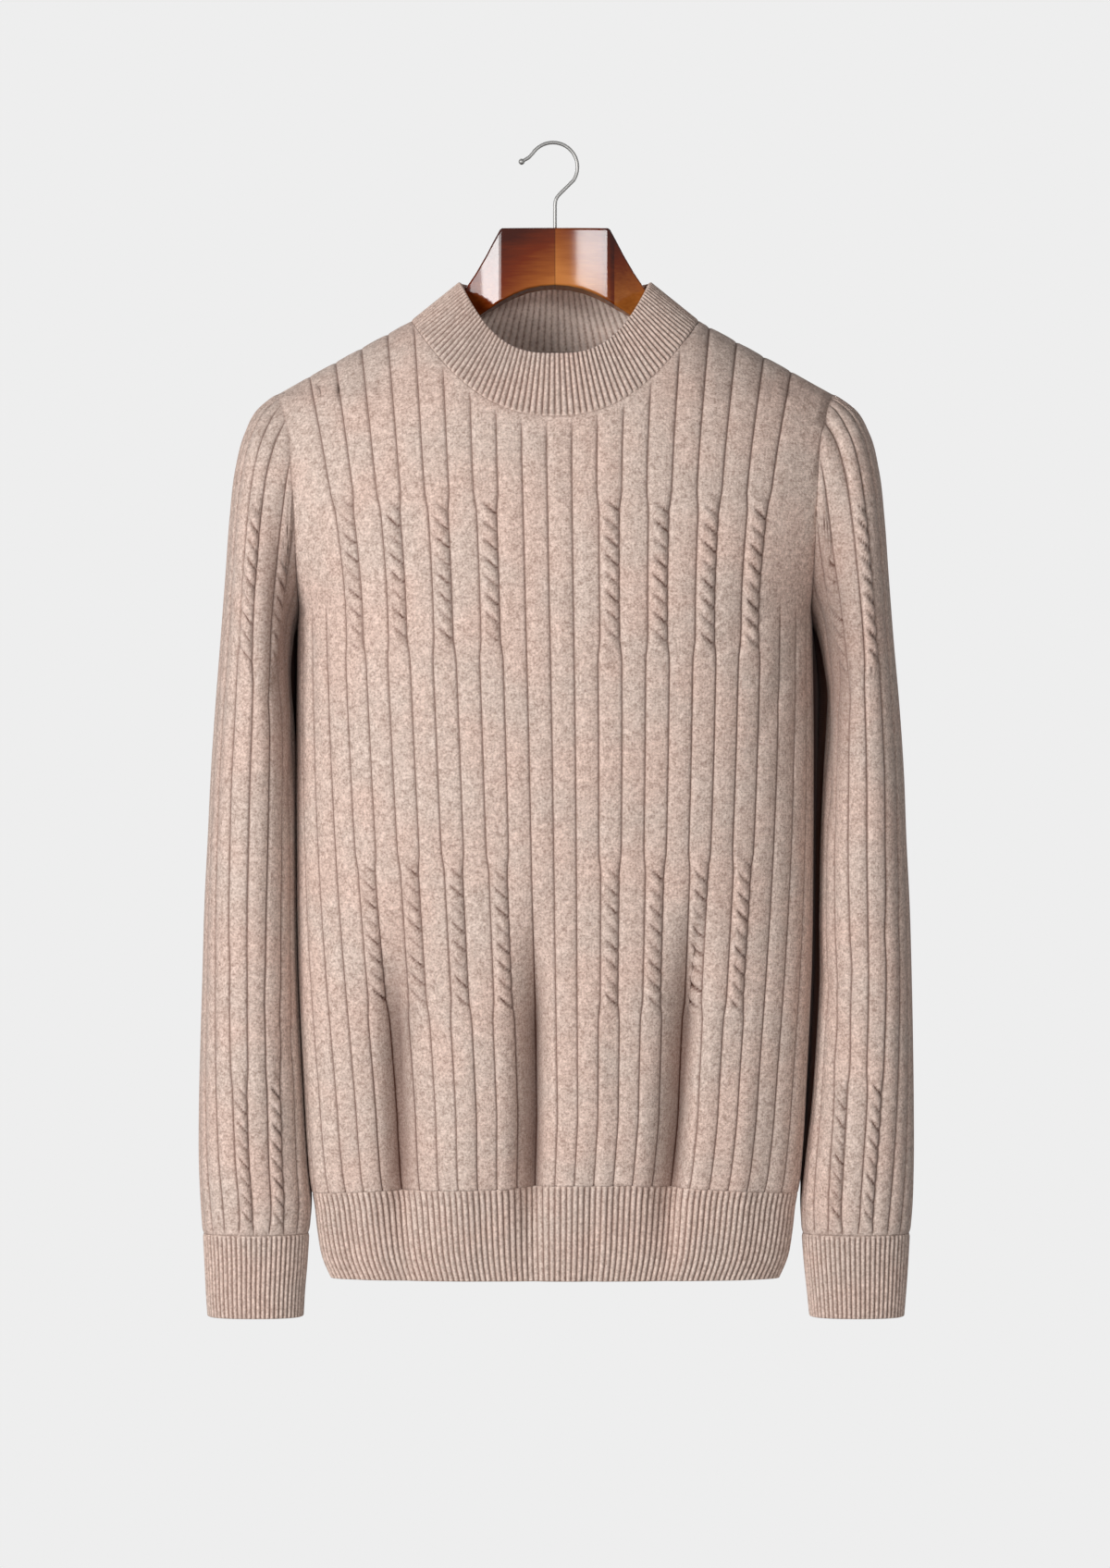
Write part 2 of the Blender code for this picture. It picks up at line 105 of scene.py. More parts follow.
# %% Lamps
Lamp = namedtuple("Lamp", "name place aim width height power")
LAMPS = (
    Lamp("key", (-2.55, -3.1, 0.2), (0.0, 0.0, -0.5), 1.3, 1.3, 90.0),
    Lamp("strip", (-3.04, -2.29, 0.26), (0.0, 0.0, -0.1), 0.5, 0.4, 31.0),
    Lamp("card", (0.52, -3.0, 0.22), (0.0, 0.0, -0.085), 0.5, 0.2, 13.5),
    Lamp("bounce", (-1.0, -2.7, -0.4), (0.0, 0.0, -0.3), 0.6, 0.7, 15.0),
    Lamp("fill", (1.9, -3.4, -0.7), (0.0, 0.0, -0.5), 1.0, 1.0, 14.0),
    Lamp("back", (0.0, 3.2, 0.3), (0.0, 0.0, -0.5), 1.8, 1.8, 60.0),
)


def add_lamp(lamp):
    """A soft flat lamp that faces its aim."""
    data = bpy.data.lights.new(lamp.name, "AREA")
    data.shape = "RECTANGLE"
    data.size, data.size_y = lamp.width, lamp.height
    data.energy = lamp.power
    thing = place_object(lamp.name, data)
    place, aim = np.array(lamp.place), np.array(lamp.aim)
    thing.location = place
    look = aim - place
    flat = float(np.hypot(look[0], look[1]))
    tilt = np.arctan2(look[2], flat)
    thing.rotation_euler = (np.pi / 2 + tilt, 0.0, np.arctan2(-look[0], look[1]))


for lamp in LAMPS:
    add_lamp(lamp)
print("lamps:", len(LAMPS))

# %% [markdown]
# ## Writing shader maths
# A material is a graph of nodes. Written node by node, a sum of three terms is twenty lines, so
# a small class wraps a socket and lets Python's own + - * / make the Math nodes.

# %% Sockets that add up
class Socket:
    """A node's output, or a number, in an expression that adds its own Math nodes."""

    def __init__(self, tree, link):
        self.tree = tree
        self.link = link

    def math(self, operation, other=0.0):
        return self.tree.node("ShaderNodeMath", {"operation": operation}, self, other)

    def __add__(self, other):
        return self.math("ADD", other)

    def __mul__(self, other):
        return self.math("MULTIPLY", other)

    def __sub__(self, other):
        return self.math("SUBTRACT", other)

    def __rsub__(self, other):
        return self.tree.node("ShaderNodeMath", {"operation": "SUBTRACT"}, other, self)

    def __truediv__(self, other):
        return self.math("DIVIDE", other)

    def __pow__(self, other):
        return self.math("POWER", other)


class Tree:
    """One material's nodes. node() adds any node and returns one of its outputs."""

    def __init__(self, name):
        self.material = bpy.data.materials.new(name)
        self.material.use_nodes = True
        self.nodes = self.material.node_tree.nodes
        self.links = self.material.node_tree.links
        self.shader = self.nodes["Principled BSDF"]

    def node(self, kind, settings, *inputs, output=0, **named):
        made = self.nodes.new(kind)
        for key, value in settings.items():
            if key == "stops":
                self.set_stops(made.color_ramp, value)
            else:
                setattr(made, key, value)
        for index, value in enumerate(inputs):
            self.feed(made.inputs[index], value)
        for key, value in named.items():
            self.feed(made.inputs[key.replace("_", " ")], value)
        return Socket(self, made.outputs[output])

    def feed(self, socket, value):
        if isinstance(value, Socket):
            self.links.new(value.link, socket)
        elif value is not None:
            socket.default_value = value

    def set_stops(self, ramp, stops):
        while len(ramp.elements) < len(stops):
            ramp.elements.new(1.0)
        for element, (place, colour) in zip(ramp.elements, stops):
            element.position = place
            element.color = (*colour, 1.0)

    def ramp(self, factor, *stops):
        return self.node("ShaderNodeValToRGB", {"stops": stops}, factor)

    def blend(self, factor, first, second, kind="MIX"):
        """Two colours mixed. A colour is a Socket or three numbers."""
        first, second = ((*c, 1.0) if isinstance(c, tuple) else c for c in (first, second))
        settings = {"data_type": "RGBA", "blend_type": kind}
        return self.node("ShaderNodeMix", settings, factor, *[None] * 5, first, second, output=2)

    def noise(self, place, scale, detail=2.0, roughness=0.5):
        values = {"Vector": place, "Scale": scale, "Detail": detail, "Roughness": roughness}
        return self.node("ShaderNodeTexNoise", {}, **values)

    def split(self, vector):
        first = self.node("ShaderNodeSeparateXYZ", {}, vector)
        node = first.link.node
        return [Socket(self, node.outputs[i]) for i in range(3)]

    def join(self, x, y, z):
        return self.node("ShaderNodeCombineXYZ", {}, x, y, z)

    def object_place(self):
        return self.node("ShaderNodeTexCoord", {}, output="Object")

    def finish(self, colour, roughness, normal=None):
        self.feed(self.shader.inputs["Base Color"], colour)
        self.feed(self.shader.inputs["Roughness"], roughness)
        if normal is not None:
            self.feed(self.shader.inputs["Normal"], normal)
        return self.material

    def constant(self, **values):
        """Numbers that hold all over the surface go on the shader's own sockets."""
        for key, value in values.items():
            self.shader.inputs[key.replace("_", " ")].default_value = value


print("shader helpers ready")

# %% [markdown]
# ## The sweater's form
# On a real sweater the form comes from three things: the hanger that carries the shoulders,
# the weight of the wool that pulls it straight, and the ribs that draw the hem, the cuffs and
# the collar in. Here it is a few tables of sections, in millimetres, and smooth curves through
# them. They are the tables of the frame, read at many more points.

# %% Tables of the form
WALL = 2.2
ARMPIT_Z = -345.0
NECK_X, NECK_Z = 105.0, -131.0
SHOULDER_X, SHOULDER_Z = 203.0, -184.0
ARMHOLE_HALF_DEPTH = 58.0
NECK_DROP = {"front": 74.0, "back": 17.0}
NECK_SHAPE = 2.3
RIDGE_RISE = 28.4
NECK_LEAN_OUT = 0.57
NECK_LIFT_FRONT, NECK_LIFT_SIDE = 0.42, 0.82
SQUARE = 2.6
ROLL = 2.1
RIM_HALF_WIDTH = 69.0
RIM_SIDE_Z = -102.0
RIM_DROP = {"front": 56.0, "back": 0.0}
RIM_DEPTH = {"front": 64.0, "back": 50.0}
RIM_SHAPE = 2.85
HEM_SEAM_Z, HEM_Z = -771.0, -836.0
SIDES = {"front": -1.0, "back": 1.0}

Section = namedtuple("Section", "z half_width front back")
TORSO = [Section(*row) for row in (
    (-836, 163, 38, 35), (-822, 169, 41, 38), (-800, 173, 44, 41), (-780, 175.2, 46, 43),
    (-764, 178.2, 49, 45), (-740, 180.3, 52, 48), (-690, 183, 57, 53), (-600, 187, 68, 63),
    (-520, 188, 80, 73), (-420, 188, 92, 84), (-345, 187, 100, 92), (-260, 187, 100, 96),
    (-100, 187, 98, 96),
)]

ArmholeEdge = namedtuple("ArmholeEdge", "z x")
ARMHOLE = [ArmholeEdge(*row) for row in (
    (-345, 187), (-300, 188.5), (-250, 190.5), (-210, 194.5), (-184, 203),
)]

# Rings round each arm, from the top or outer point to the point under the arm.
Ring = namedtuple("Ring", "top_z under_z left_out left_in right_out right_in half_depth back")
SLEEVE = [Ring(*row) for row in (
    (-196, -352, 219, 191.5, 217, 191, 60, 0), (-213, -360, 229, 194, 226, 193, 62, 0),
    (-240, -372, 236, 197, 233, 194.5, 64, 0), (-275, -386, 240, 199.5, 237, 195.5, 66, 0),
    (-315, -402, 243, 201.5, 240, 195, 66, 1), (-360, -422, 246.5, 201, 243.5, 193, 65, 2),
    (-410, -450, 251, 199.5, 247.5, 191.6, 63, 3), (-460, -482, 254.5, 198, 251, 191.4, 60, 4),
    (-510, -522, 256.5, 196.5, 253.5, 191.3, 57, 5), (-560, -566, 259, 195.8, 256, 191.1, 53, 5),
    (-612, -614, 260.5, 196, 257.5, 190.2, 49, 5), (-662, -662, 261.5, 193.5, 259, 188.2, 45, 4),
    (-708, -708, 262, 190, 260, 185.8, 41, 3), (-748, -748, 262, 185.2, 260, 183.4, 37, 2),
    (-780, -780, 261, 182.4, 258.6, 180.8, 33, 1), (-800, -800, 259.3, 183, 257.2, 182.2, 30, 0),
)]
CUFF = [Ring(*row) for row in (
    (-822, -822, 258, 184.6, 256, 183.6, 28, 0), (-843, -843, 256.5, 186.8, 255, 185.4, 27, 0),
    (-861, -861, 255, 188.6, 253.8, 186.4, 26, 0),
)]
print("sections:", len(TORSO), "rings a sleeve:", len(SLEEVE) + len(CUFF))


# %% Curves through the tables
def smooth_through(keys, values, at):
    """Smooth curves through the values at rising keys. A value may be a whole array."""
    slopes = np.gradient(values, keys, axis=0)
    at = np.clip(np.asarray(at, float), keys[0], keys[-1])
    low = np.clip(np.searchsorted(keys, at, side="right") - 1, 0, len(keys) - 2)
    span = keys[low + 1] - keys[low]
    t = (at - keys[low]) / span
    wide = (...,) + (None,) * (values.ndim - 1)
    span, t = span[wide], t[wide]
    rising = 3 * t**2 - 2 * t**3
    bend = span * (slopes[low] * (t - 2 * t**2 + t**3) + slopes[low + 1] * (t**3 - t**2))
    return values[low] * (1 - rising) + values[low + 1] * rising + bend


def read(table, column, at):
    """A smooth curve through one column of a table, read at one or many heights."""
    rows = sorted(table, key=lambda row: row.z)
    keys = np.array([row.z for row in rows], float)
    return smooth_through(keys, np.array([getattr(row, column) for row in rows], float), at)


def lengths_along(points):
    """The distance of each point from the first one, along a run or up the columns of a net."""
    steps = np.linalg.norm(np.diff(points, axis=0), axis=-1)
    return np.concatenate([np.zeros((1,) + steps.shape[1:]), np.cumsum(steps, axis=0)])


def oval(share, power):
    """The height of a squared oval, 1 in its middle and 0 at its ends."""
    return np.clip(1 - np.abs(share) ** power, 0, None) ** (1 / power)


def unit(vectors):
    return vectors / np.maximum(np.linalg.norm(vectors, axis=-1, keepdims=True), 1e-9)


def rise(value, start, end):
    """0 up to start, 1 from end on, and a smooth rise between."""
    t = np.clip((np.asarray(value, float) - start) / (end - start), 0, 1)
    return 3 * t**2 - 2 * t**3


def between(value, start, full, last, gone):
    """0 up to start, 1 from full to last, 0 again from gone on, and smooth between."""
    return rise(value, start, full) * (1 - rise(value, last, gone))


def ridge_z(x):
    """The height of the shoulder line, carried on smoothly across the neck."""
    slope = (SHOULDER_Z - NECK_Z) / (SHOULDER_X - NECK_X)
    across = NECK_Z + RIDGE_RISE * (1 - (x / NECK_X) ** 2)
    return np.where(np.abs(x) < NECK_X, across, NECK_Z + slope * (np.abs(x) - NECK_X))


def roll_of(x, z):
    """How much of its depth the cloth keeps as it rises to the shoulder line."""
    share = (z - ARMPIT_Z) / (ridge_z(x) - ARMPIT_Z)
    return oval(np.clip(share, 0, 1), ROLL)


def armhole_y(z):
    half = (SHOULDER_Z - ARMPIT_Z) / 2
    return ARMHOLE_HALF_DEPTH * oval((z - ARMPIT_Z - half) / half, 2)


def depth_at(side, x, z):
    """The distance of the cloth from the plane y = 0, so that it passes through the armhole."""
    full = read(TORSO, side, z)
    edge = read(ARMHOLE, "x", z)
    share = np.clip(armhole_y(z) / (full * np.maximum(roll_of(edge, z), 0.02)), 0, 0.97)
    width = edge / oval(share, SQUARE)
    width = np.where(z > ARMPIT_Z, width, read(TORSO, "half_width", z))
    roll = np.where(z > ARMPIT_Z, roll_of(x, z), 1.0)
    return full * roll * oval(x / width, SQUARE)


def neckline_z(side, x):
    x = np.clip(np.abs(x), 0, NECK_X)
    return NECK_Z - NECK_DROP[side] * (1 - (x / NECK_X) ** NECK_SHAPE)


print("the front is", round(float(read(TORSO, "front", ARMPIT_Z))), "mm deep at the armpit")

# %% [markdown]
# ## Folds
# Hanging knitwear is never flat. The sleeves pull at the armpits, so soft creases fan out from
# there; the weight of the hem makes long troughs in the lower body. Each one is placed as a row
# of a table: where it starts and ends on the side it lies on, how deep it presses the cloth in
# and how wide it is. They are uneven on purpose, and the back has its own.

# %% Folds of the body
Fold = namedtuple("Fold", "x0 z0 x1 z1 depth width")
BODY_FOLDS = {
    "front": (
        (-12, -560, -15, -800, 24, 14.5), (103, -560, 84, -800, 22, 15),
        (-114, -570, -109, -800, 15, 12), (-112, -560, -108, -800, 9, 34),
        (30, -600, 28, -830, -3.5, 22), (-66, -620, -64, -830, -3, 20),
        (142, -640, 134, -830, -2.5, 16), (30, -690, 28, -860, 3, 9),
        (-150, -690, -146, -850, 2.5, 10), (-180, -352, -146, -430, 3.2, 7),
        (-183, -368, -160, -470, 2.6, 8), (181, -352, 148, -440, 3, 7),
        (183, -372, 166, -480, 2.4, 9), (177, -330, 120, -372, 1.8, 9),
        (-176, -332, -124, -366, 1.6, 9),
    ),
    "back": (
        (34, -540, 30, -860, 9, 18), (-84, -580, -78, -860, 8.5, 18), (126, -600, 116, -860, 7, 17),
        (-24, -640, -26, -830, -3, 22), (78, -660, 74, -830, -2.5, 18),
        (180, -352, 144, -436, 3, 7), (-181, -352, -150, -428, 3.2, 7),
        (-182, -376, -164, -476, 2.4, 9),
    ),
}
STEEPER = 0.48
BODY_FADE = (-0.1, 0.4, 0.75, 1.25)


def pressed_in(folds, x, z, fade, steeper=1.0):
    """How far a table's folds press the cloth in.

    fade says where along a fold it grows and where it dies out, as shares of its length.
    steeper narrows its slope on the wearer's left."""
    pressed = np.zeros(np.broadcast(x, z).shape)
    for fold in (Fold(*row) for row in folds):
        run = np.array([fold.x1 - fold.x0, fold.z1 - fold.z0])
        length = np.linalg.norm(run)
        along = ((x - fold.x0) * run[0] + (z - fold.z0) * run[1]) / length**2
        aside = ((x - fold.x0) * run[1] - (z - fold.z0) * run[0]) / length
        width = np.where(aside < 0, fold.width * steeper, fold.width)
        pressed += fold.depth * between(along, *fade) * np.exp(-((aside / width) ** 2))
    return pressed


def body_folds(side, x, z):
    return pressed_in(BODY_FOLDS[side], x, z, BODY_FADE, STEEPER)


print("folds placed on the body:", sum(len(rows) for rows in BODY_FOLDS.values()))

# %% [markdown]
# ## Ribs and cables
# The body is knitted in broad ribs: about nine columns of plain stitches, then one purl column
# that sinks into a groove, darkened partly by painted shade. Every other rib near the middle
# twists into a rope cable over two bands: its left half is crossed over its right half every
# few rows, so slanting grooves run down from its left edge to its right one, and the cabled rib
# draws in.
# The rib coordinate r counts ribs from the centre groove: r = 0, 1, 2 ... are grooves.

# %% Rib and cable tables
BODY_RIBS = 14
PITCH_DRIFT = ((-771, 0.0), (-713, 2.0), (-580, 0.0), (-440, -2.0), (-234, -6.0), (-140, -6.0))
Band = namedtuple("Band", "top_z foot_z")
BODY_CABLES = (-8.5, -6.5, -4.5, -2.5, 2.5, 4.5, 6.5, 8.5)
BODY_BANDS = (Band(-267, -373), Band(-526, -634))
SLEEVE_RIBS = 20
SLEEVE_CABLES = (4.5, 6.5)
SLEEVE_BANDS = (Band(-265, -390), Band(-686, -793))
CABLE_STEP, CABLE_DROP = 13.2, 10.5
CABLE_NARROWING = 0.09
BAND_FADE = 9.0
GROOVE_DEPTH, GROOVE_HALF_WIDTH = 1.1, 0.62
PILLOW, PILLOW_POWER = 0.75, 2.6
# The crest is not a shape but a highlight painted beside each groove: its strength, place and half
# width.
CREST_HIGHLIGHT, CREST_PLACE, CREST_HALF_WIDTH = 0.3, 2.0, 0.9
CABLE_GROOVE, CABLE_CROWN = 1.5, 2.2
CABLE_OFFSET = 5.7
# The cut's shade is painted into the cables' cuts; the last strand number is a highlight painted on
# the strands.
CUT_HALF_WIDTH, CUT_SHADE = 1.15, 1.35
STRAND_POWER, STRAND_EDGE, STRAND_HIGHLIGHT = 0.7, 2.4, 0.45
PLAIN_STOPS = (0.0, 0.045, 0.12, 0.5, 0.88, 0.955)
CABLE_STOPS = (0.0, 0.045, 0.11, 0.2, 0.3, 0.4, 0.5, 0.6, 0.7, 0.8, 0.89, 0.955)


def rib_columns(first, last, cables):
    """Where a net's columns stand, in ribs: close together at each groove and over a cable."""
    stops = []
    for rib in range(first, last):
        share = CABLE_STOPS if rib + 0.5 in cables else PLAIN_STOPS
        stops += [rib + part for part in share]
    return np.array(stops + [float(last)])


def in_bands(z, bands):
    """1 inside a band of cables and 0 outside, with short fades."""
    fade = np.array([-BAND_FADE, BAND_FADE])
    return sum(between(z, *band.foot_z + fade, *band.top_z + fade) for band in bands)


def cable_shift(r, z, cables, bands):
    """How far the grooves beside a cable are drawn in, in ribs."""
    shift = np.zeros(np.broadcast(r, z).shape)
    for cable in cables:
        away = r - cable
        shift -= CABLE_NARROWING * np.sign(away) * between(np.abs(away), 0, 0.5, 0.5, 1.4)
    return shift * in_bands(z, bands)


def rib_relief(r, z, pitch, cables=(), bands=()):
    """How far the knit stands out of its form, in millimetres, and its painted shading.

    Above zero the shading is shade painted into the grooves and the cables' cuts; below zero it
    is a highlight painted beside each groove and on the cables' strands."""
    rib = np.floor(r)
    part = r - rib
    from_groove = np.minimum(part, 1 - part) * pitch
    groove = np.exp(-((from_groove / GROOVE_HALF_WIDTH) ** 2))
    relief = PILLOW * (1 - np.abs(2 * part - 1) ** PILLOW_POWER) - GROOVE_DEPTH * groove
    # A highlight painted on the plain column just right of each groove.
    crest_highlight = CREST_HIGHLIGHT * np.exp(-(((part * pitch - CREST_PLACE) / CREST_HALF_WIDTH) ** 2))
    hollow = groove - crest_highlight
    banded = in_bands(z, bands)
    for cable in cables:
        here = (np.abs(r - cable) < 0.5) * banded
        dropped = CABLE_DROP * (0.3 * part + 0.7 * rise(part, 0.0, 1.0))
        step = (-z - dropped + cable * CABLE_OFFSET) / CABLE_STEP
        from_cut = np.abs(step - np.round(step))
        strength = 0.1 + 0.9 * rise(part, 0.15, 0.5)
        strength = strength * (0.8 + 0.2 * np.sin(np.round(step) * 2.3 + cable * 4.1))
        cut = np.exp(-((from_cut * CABLE_STEP / CUT_HALF_WIDTH) ** 2)) * strength
        strand = 1 - np.abs(2 * part - 1) ** STRAND_EDGE
        strand = strand * np.sin(np.pi * from_cut) ** STRAND_POWER
        relief += here * (CABLE_CROWN * strand - CABLE_GROOVE * cut)
        # Shade painted into the cuts, and a highlight painted on the strands' crowns.
        hollow = np.maximum(hollow, CUT_SHADE * here * cut) - here * STRAND_HIGHLIGHT * strand**2
    return relief, hollow


print("columns across the front:", len(rib_columns(-BODY_RIBS, BODY_RIBS, BODY_CABLES)))

# %% [markdown]
# ## From a net of points to a wall of knit
# Every knitted piece is made the same way. A net of points lies on the form, its columns locked
# to the ribs. The outer layer stands half a wall out, plus the ribs' relief. The inner layer
# stands half a wall in. Strips close the open edges, which are rounded as knitted edges are.
# The net's own coordinates, ribs across and millimetres along, become the piece's UV map, so
# that the stitches can follow every rib.

# %% A wall from a net
Net = namedtuple("Net", "points normals ribs along closed")
EDGE_RADIUS = 1.3


def wall_corners(rows, columns, closed):
    """The layer, the row and the column of each corner of a wall's faces.

    The faces are those of the outer and the inner layer, then the strips round the edges."""
    up, across = np.arange(rows - 1), np.arange(columns if closed else columns - 1)
    row, column = (grid.ravel() for grid in np.meshgrid(up, across, indexing="ij"))
    beside = (column, column + 1, column + 1, column)
    groups = [((0,) * 4, (row, row, row + 1, row + 1), beside),
              ((1,) * 4, (row + 1, row + 1, row, row), beside)]
    ends = [((0, 0, 1, 1), (end,) * 4, (across, across + 1, across + 1, across))
            for end in (0, rows - 1)]
    sides = [((0, 0, 1, 1), (up, up + 1, up + 1, up), (side,) * 4) for side in (0, columns - 1)]
    faces = []
    for group in groups + ends + ([] if closed else sides):
        corners = [np.stack(np.broadcast_arrays(*four), axis=-1) for four in group]
        faces.append(np.stack(np.broadcast_arrays(*corners)))
    return np.concatenate(faces, axis=1)


def knit_wall(name, net, outer_rise, inner_rise, hollow, inner_painted_shading=None):
    """A closed mesh from a net. The rises are in millimetres from the middle of the wall."""
    rows, columns = net.points.shape[:2]
    outer = net.points + net.normals * outer_rise[..., None]
    inner = net.points - net.normals * inner_rise[..., None]
    points = np.concatenate([outer.reshape(-1, 3), inner.reshape(-1, 3)]) * MM
    layer, row, column = wall_corners(rows, columns, net.closed)
    faces = (layer * rows + row) * columns + column % columns
    mesh = bpy.data.meshes.new(name)
    mesh.from_pydata(points.tolist(), [], faces.tolist())
    knit = np.stack([net.ribs[row, column], net.along[row, column % columns]], axis=-1)
    mesh.uv_layers.new(name="Knit").data.foreach_set("uv", knit.astype(np.float32).ravel())
    # The painted shading goes on the points: shade painted into hollows above zero, highlight
    # painted below zero.
    shade = mesh.attributes.new("hollow", "FLOAT", "POINT")
    inner_painted_shading = hollow if inner_painted_shading is None else inner_painted_shading
    both = np.concatenate([hollow.ravel(), inner_painted_shading.ravel()]).astype(np.float32)
    shade.data.foreach_set("value", both)
    shape = bmesh.new()
    shape.from_mesh(mesh)
    bmesh.ops.remove_doubles(shape, verts=shape.verts, dist=0.002 * MM)
    bmesh.ops.recalc_face_normals(shape, faces=shape.faces)
    shape.to_mesh(mesh)
    shape.free()
    mesh.shade_smooth()
    thing = place_object(name, mesh)
    triangles = sum(len(face.vertices) - 2 for face in mesh.polygons)
    print(f"{name}: {rows} rows x {columns} columns, {triangles} triangles")
    return thing


def net_normals(points):
    """The normals of a net that closes round a tube."""
    wrapped = np.concatenate([points[:, -1:], points, points[:, :1]], axis=1)
    across, up = np.gradient(wrapped, axis=1), np.gradient(wrapped, axis=0)
    normals = unit(np.cross(across, up))[:, 1:-1]
    middle = points[len(points) // 2]
    outward = np.sum(normals[len(points) // 2] * (middle - middle.mean(axis=0)))
    return normals * np.sign(outward)


def near(distance, reach):
    """1 at a seam, and soon 0 beyond its reach."""
    return np.exp(-((distance / reach) ** 2))


def toward(normals, seam_vectors, distance, reach):
    """Normals that turn into a seam's own vector close to it, so that two pieces meet there."""
    share = near(distance, reach)[..., None]
    return unit(normals * (1 - share) + seam_vectors * share)


def rounded(distance):
    """The share of the wall's thickness left close to an open edge."""
    t = 1 - np.clip(distance / EDGE_RADIUS, 0, 1)
    return np.sqrt(1 - 0.98 * t**2)


def spaced(stops, spacings):
    """Values from the first stop to the last, each span stepped at about its own spacing."""
    values = [np.array([stops[0]])]
    for start, end, spacing in zip(stops, stops[1:], spacings):
        count = max(1, int(round(abs(end - start) / spacing)))
        values.append(np.linspace(start, end, count + 1)[1:])
    return np.concatenate(values)


print("wall helpers ready")

# %% [markdown]
# ## Front and back
# The two body pieces are cut alike, apart from the neckline. Each is wide at the chest and runs
# straight down, and the ribs' pitch narrows toward the hem because the hem rib draws them in.
# Above the armpit the outer ribs end one by one at the armhole seam, and the cloth rolls over
# the shoulder to a seam on its top.

# %% Nets of the body
SHOULDER_PITCH = 19.6
FAN = 1.4
SIDE_REACH, TOP_REACH = 7.0, 9.0
# The gap between body and sleeve: its height, and its width on the left and on the right.
GAPS = (
    (-790, -1.2, -1.2), (-760, 6, 4), (-708, 9, 5), (-662, 10.5, 5), (-560, 9.2, 4.6),
    (-460, 11.5, 5.5), (-390, 13, 8.5), (-365, 9, 8), (-345, -1.2, -1.2),
)
OVERLAP = 0.6
SIDE_SPAN, SIDE_X = (0, 20, 30, 58), (120, 170)
SECTION_SAMPLES, LEVEL_SAMPLES = 500, 260
# The hem's seam is drawn up more toward the middle of the front.
HEM_LIFT = ((-190, 1), (-114, 4.6), (-37, 6.2), (0, 8.8), (52, 9.2), (116, 5.7), (190, 1))
HEM_LIFT_BACK, HEM_LIFT_FADE = 1.0, 70.0


def half_section(side, z):
    """x and the length from the middle along half a section below the armpit."""
    turn = np.linspace(0, np.pi / 2, SECTION_SAMPLES)
    x = read(TORSO, "half_width", z) * np.sin(turn) ** (2 / SQUARE)
    y = read(TORSO, side, z) * np.cos(turn) ** (2 / SQUARE)
    return x, lengths_along(np.stack([x, y], axis=-1))


def armhole_x(level):
    """The x of the armhole edge at a level: 0 at the armpit and 1 on the shoulder line."""
    x = np.full(np.shape(level), 190.0)
    for _ in range(30):
        z = ARMPIT_Z + level * (ridge_z(x) - ARMPIT_Z)
        x = read(ARMHOLE, "x", z)
    return x


def drift_at(z):
    """How far the middle groove wanders from the middle."""
    return np.interp(z, *zip(*PITCH_DRIFT))


def lower_x(side, z, shifted, drift):
    """The x of ribs on one section, the middle groove moved by the drift."""
    x, length = half_section(side, z)
    share = np.clip(shifted / BODY_RIBS, -1, 1)
    along = share * length[-1] + drift * (1 - share**2)
    return np.sign(along) * np.interp(np.abs(along), length, x)


def upper_paths(side, ribs, cables, bands, levels):
    """The x of every column at many levels above the armpit, where the ribs fan out a little."""
    paths = []
    for level in levels:
        z = ARMPIT_Z + level * (ridge_z(ribs * 18) - ARMPIT_Z)
        shifted = ribs + cable_shift(ribs, z, cables, bands)
        drift = drift_at(z)
        low = lower_x(side, ARMPIT_Z, shifted, drift)
        high = shifted * SHOULDER_PITCH + drift * (1 - np.clip(shifted / BODY_RIBS, -1, 1) ** 2)
        x = low + (high - low) * level**FAN
        edge = float(armhole_x(np.array(level)))
        paths.append(np.clip(x, -edge, edge))
    return np.array(paths)


def neck_levels(side, levels, paths):
    """The level at which each column meets the neckline, or 1 where it runs to the shoulder."""
    tops = np.ones(paths.shape[1])
    z = ARMPIT_Z + levels[:, None] * (ridge_z(paths) - ARMPIT_Z)
    above = z - neckline_z(side, paths)
    for column in np.flatnonzero(np.abs(paths[-1]) < NECK_X):
        crossing = np.flatnonzero((above[:-1, column] < 0) & (above[1:, column] >= 0))
        if len(crossing):
            k = crossing[0]
            part = above[k, column] / (above[k, column] - above[k + 1, column])
            tops[column] = levels[k] + part * (levels[k + 1] - levels[k])
    return tops


def pressed_depth(side, x, z):
    """The depth of the cloth with its folds, which fade out at the side seams."""
    half_width = np.where(z > ARMPIT_Z, read(ARMHOLE, "x", z), read(TORSO, "half_width", z))
    fade = oval(np.clip(np.abs(x) / half_width, 0, 1), 6)
    return depth_at(side, x, z) - body_folds(side, x, z) * fade


def slope_normals(side, x, z):
    """Normals from the slopes of the form itself."""
    step = 0.4
    over_x = pressed_depth(side, x + step, z) - pressed_depth(side, x - step, z)
    over_z = pressed_depth(side, x, z + step) - pressed_depth(side, x, z - step)
    facing = np.full(np.shape(x), 2 * step)
    return unit(np.stack([-over_x, SIDES[side] * facing, -over_z], axis=-1))


def seam_vector_armhole(side, z):
    """Down at the armpit, forward or back at mid height, and square to the shoulder at the top."""
    turn = np.arccos(np.clip(1 - 2 * (z - ARMPIT_Z) / (SHOULDER_Z - ARMPIT_Z), -1, 1))
    slope = (NECK_Z - SHOULDER_Z) / (SHOULDER_X - NECK_X)
    out = slope * (1 - np.cos(turn)) / 2
    return unit(np.stack([out, SIDES[side] * np.sin(turn), -np.cos(turn)], axis=-1))


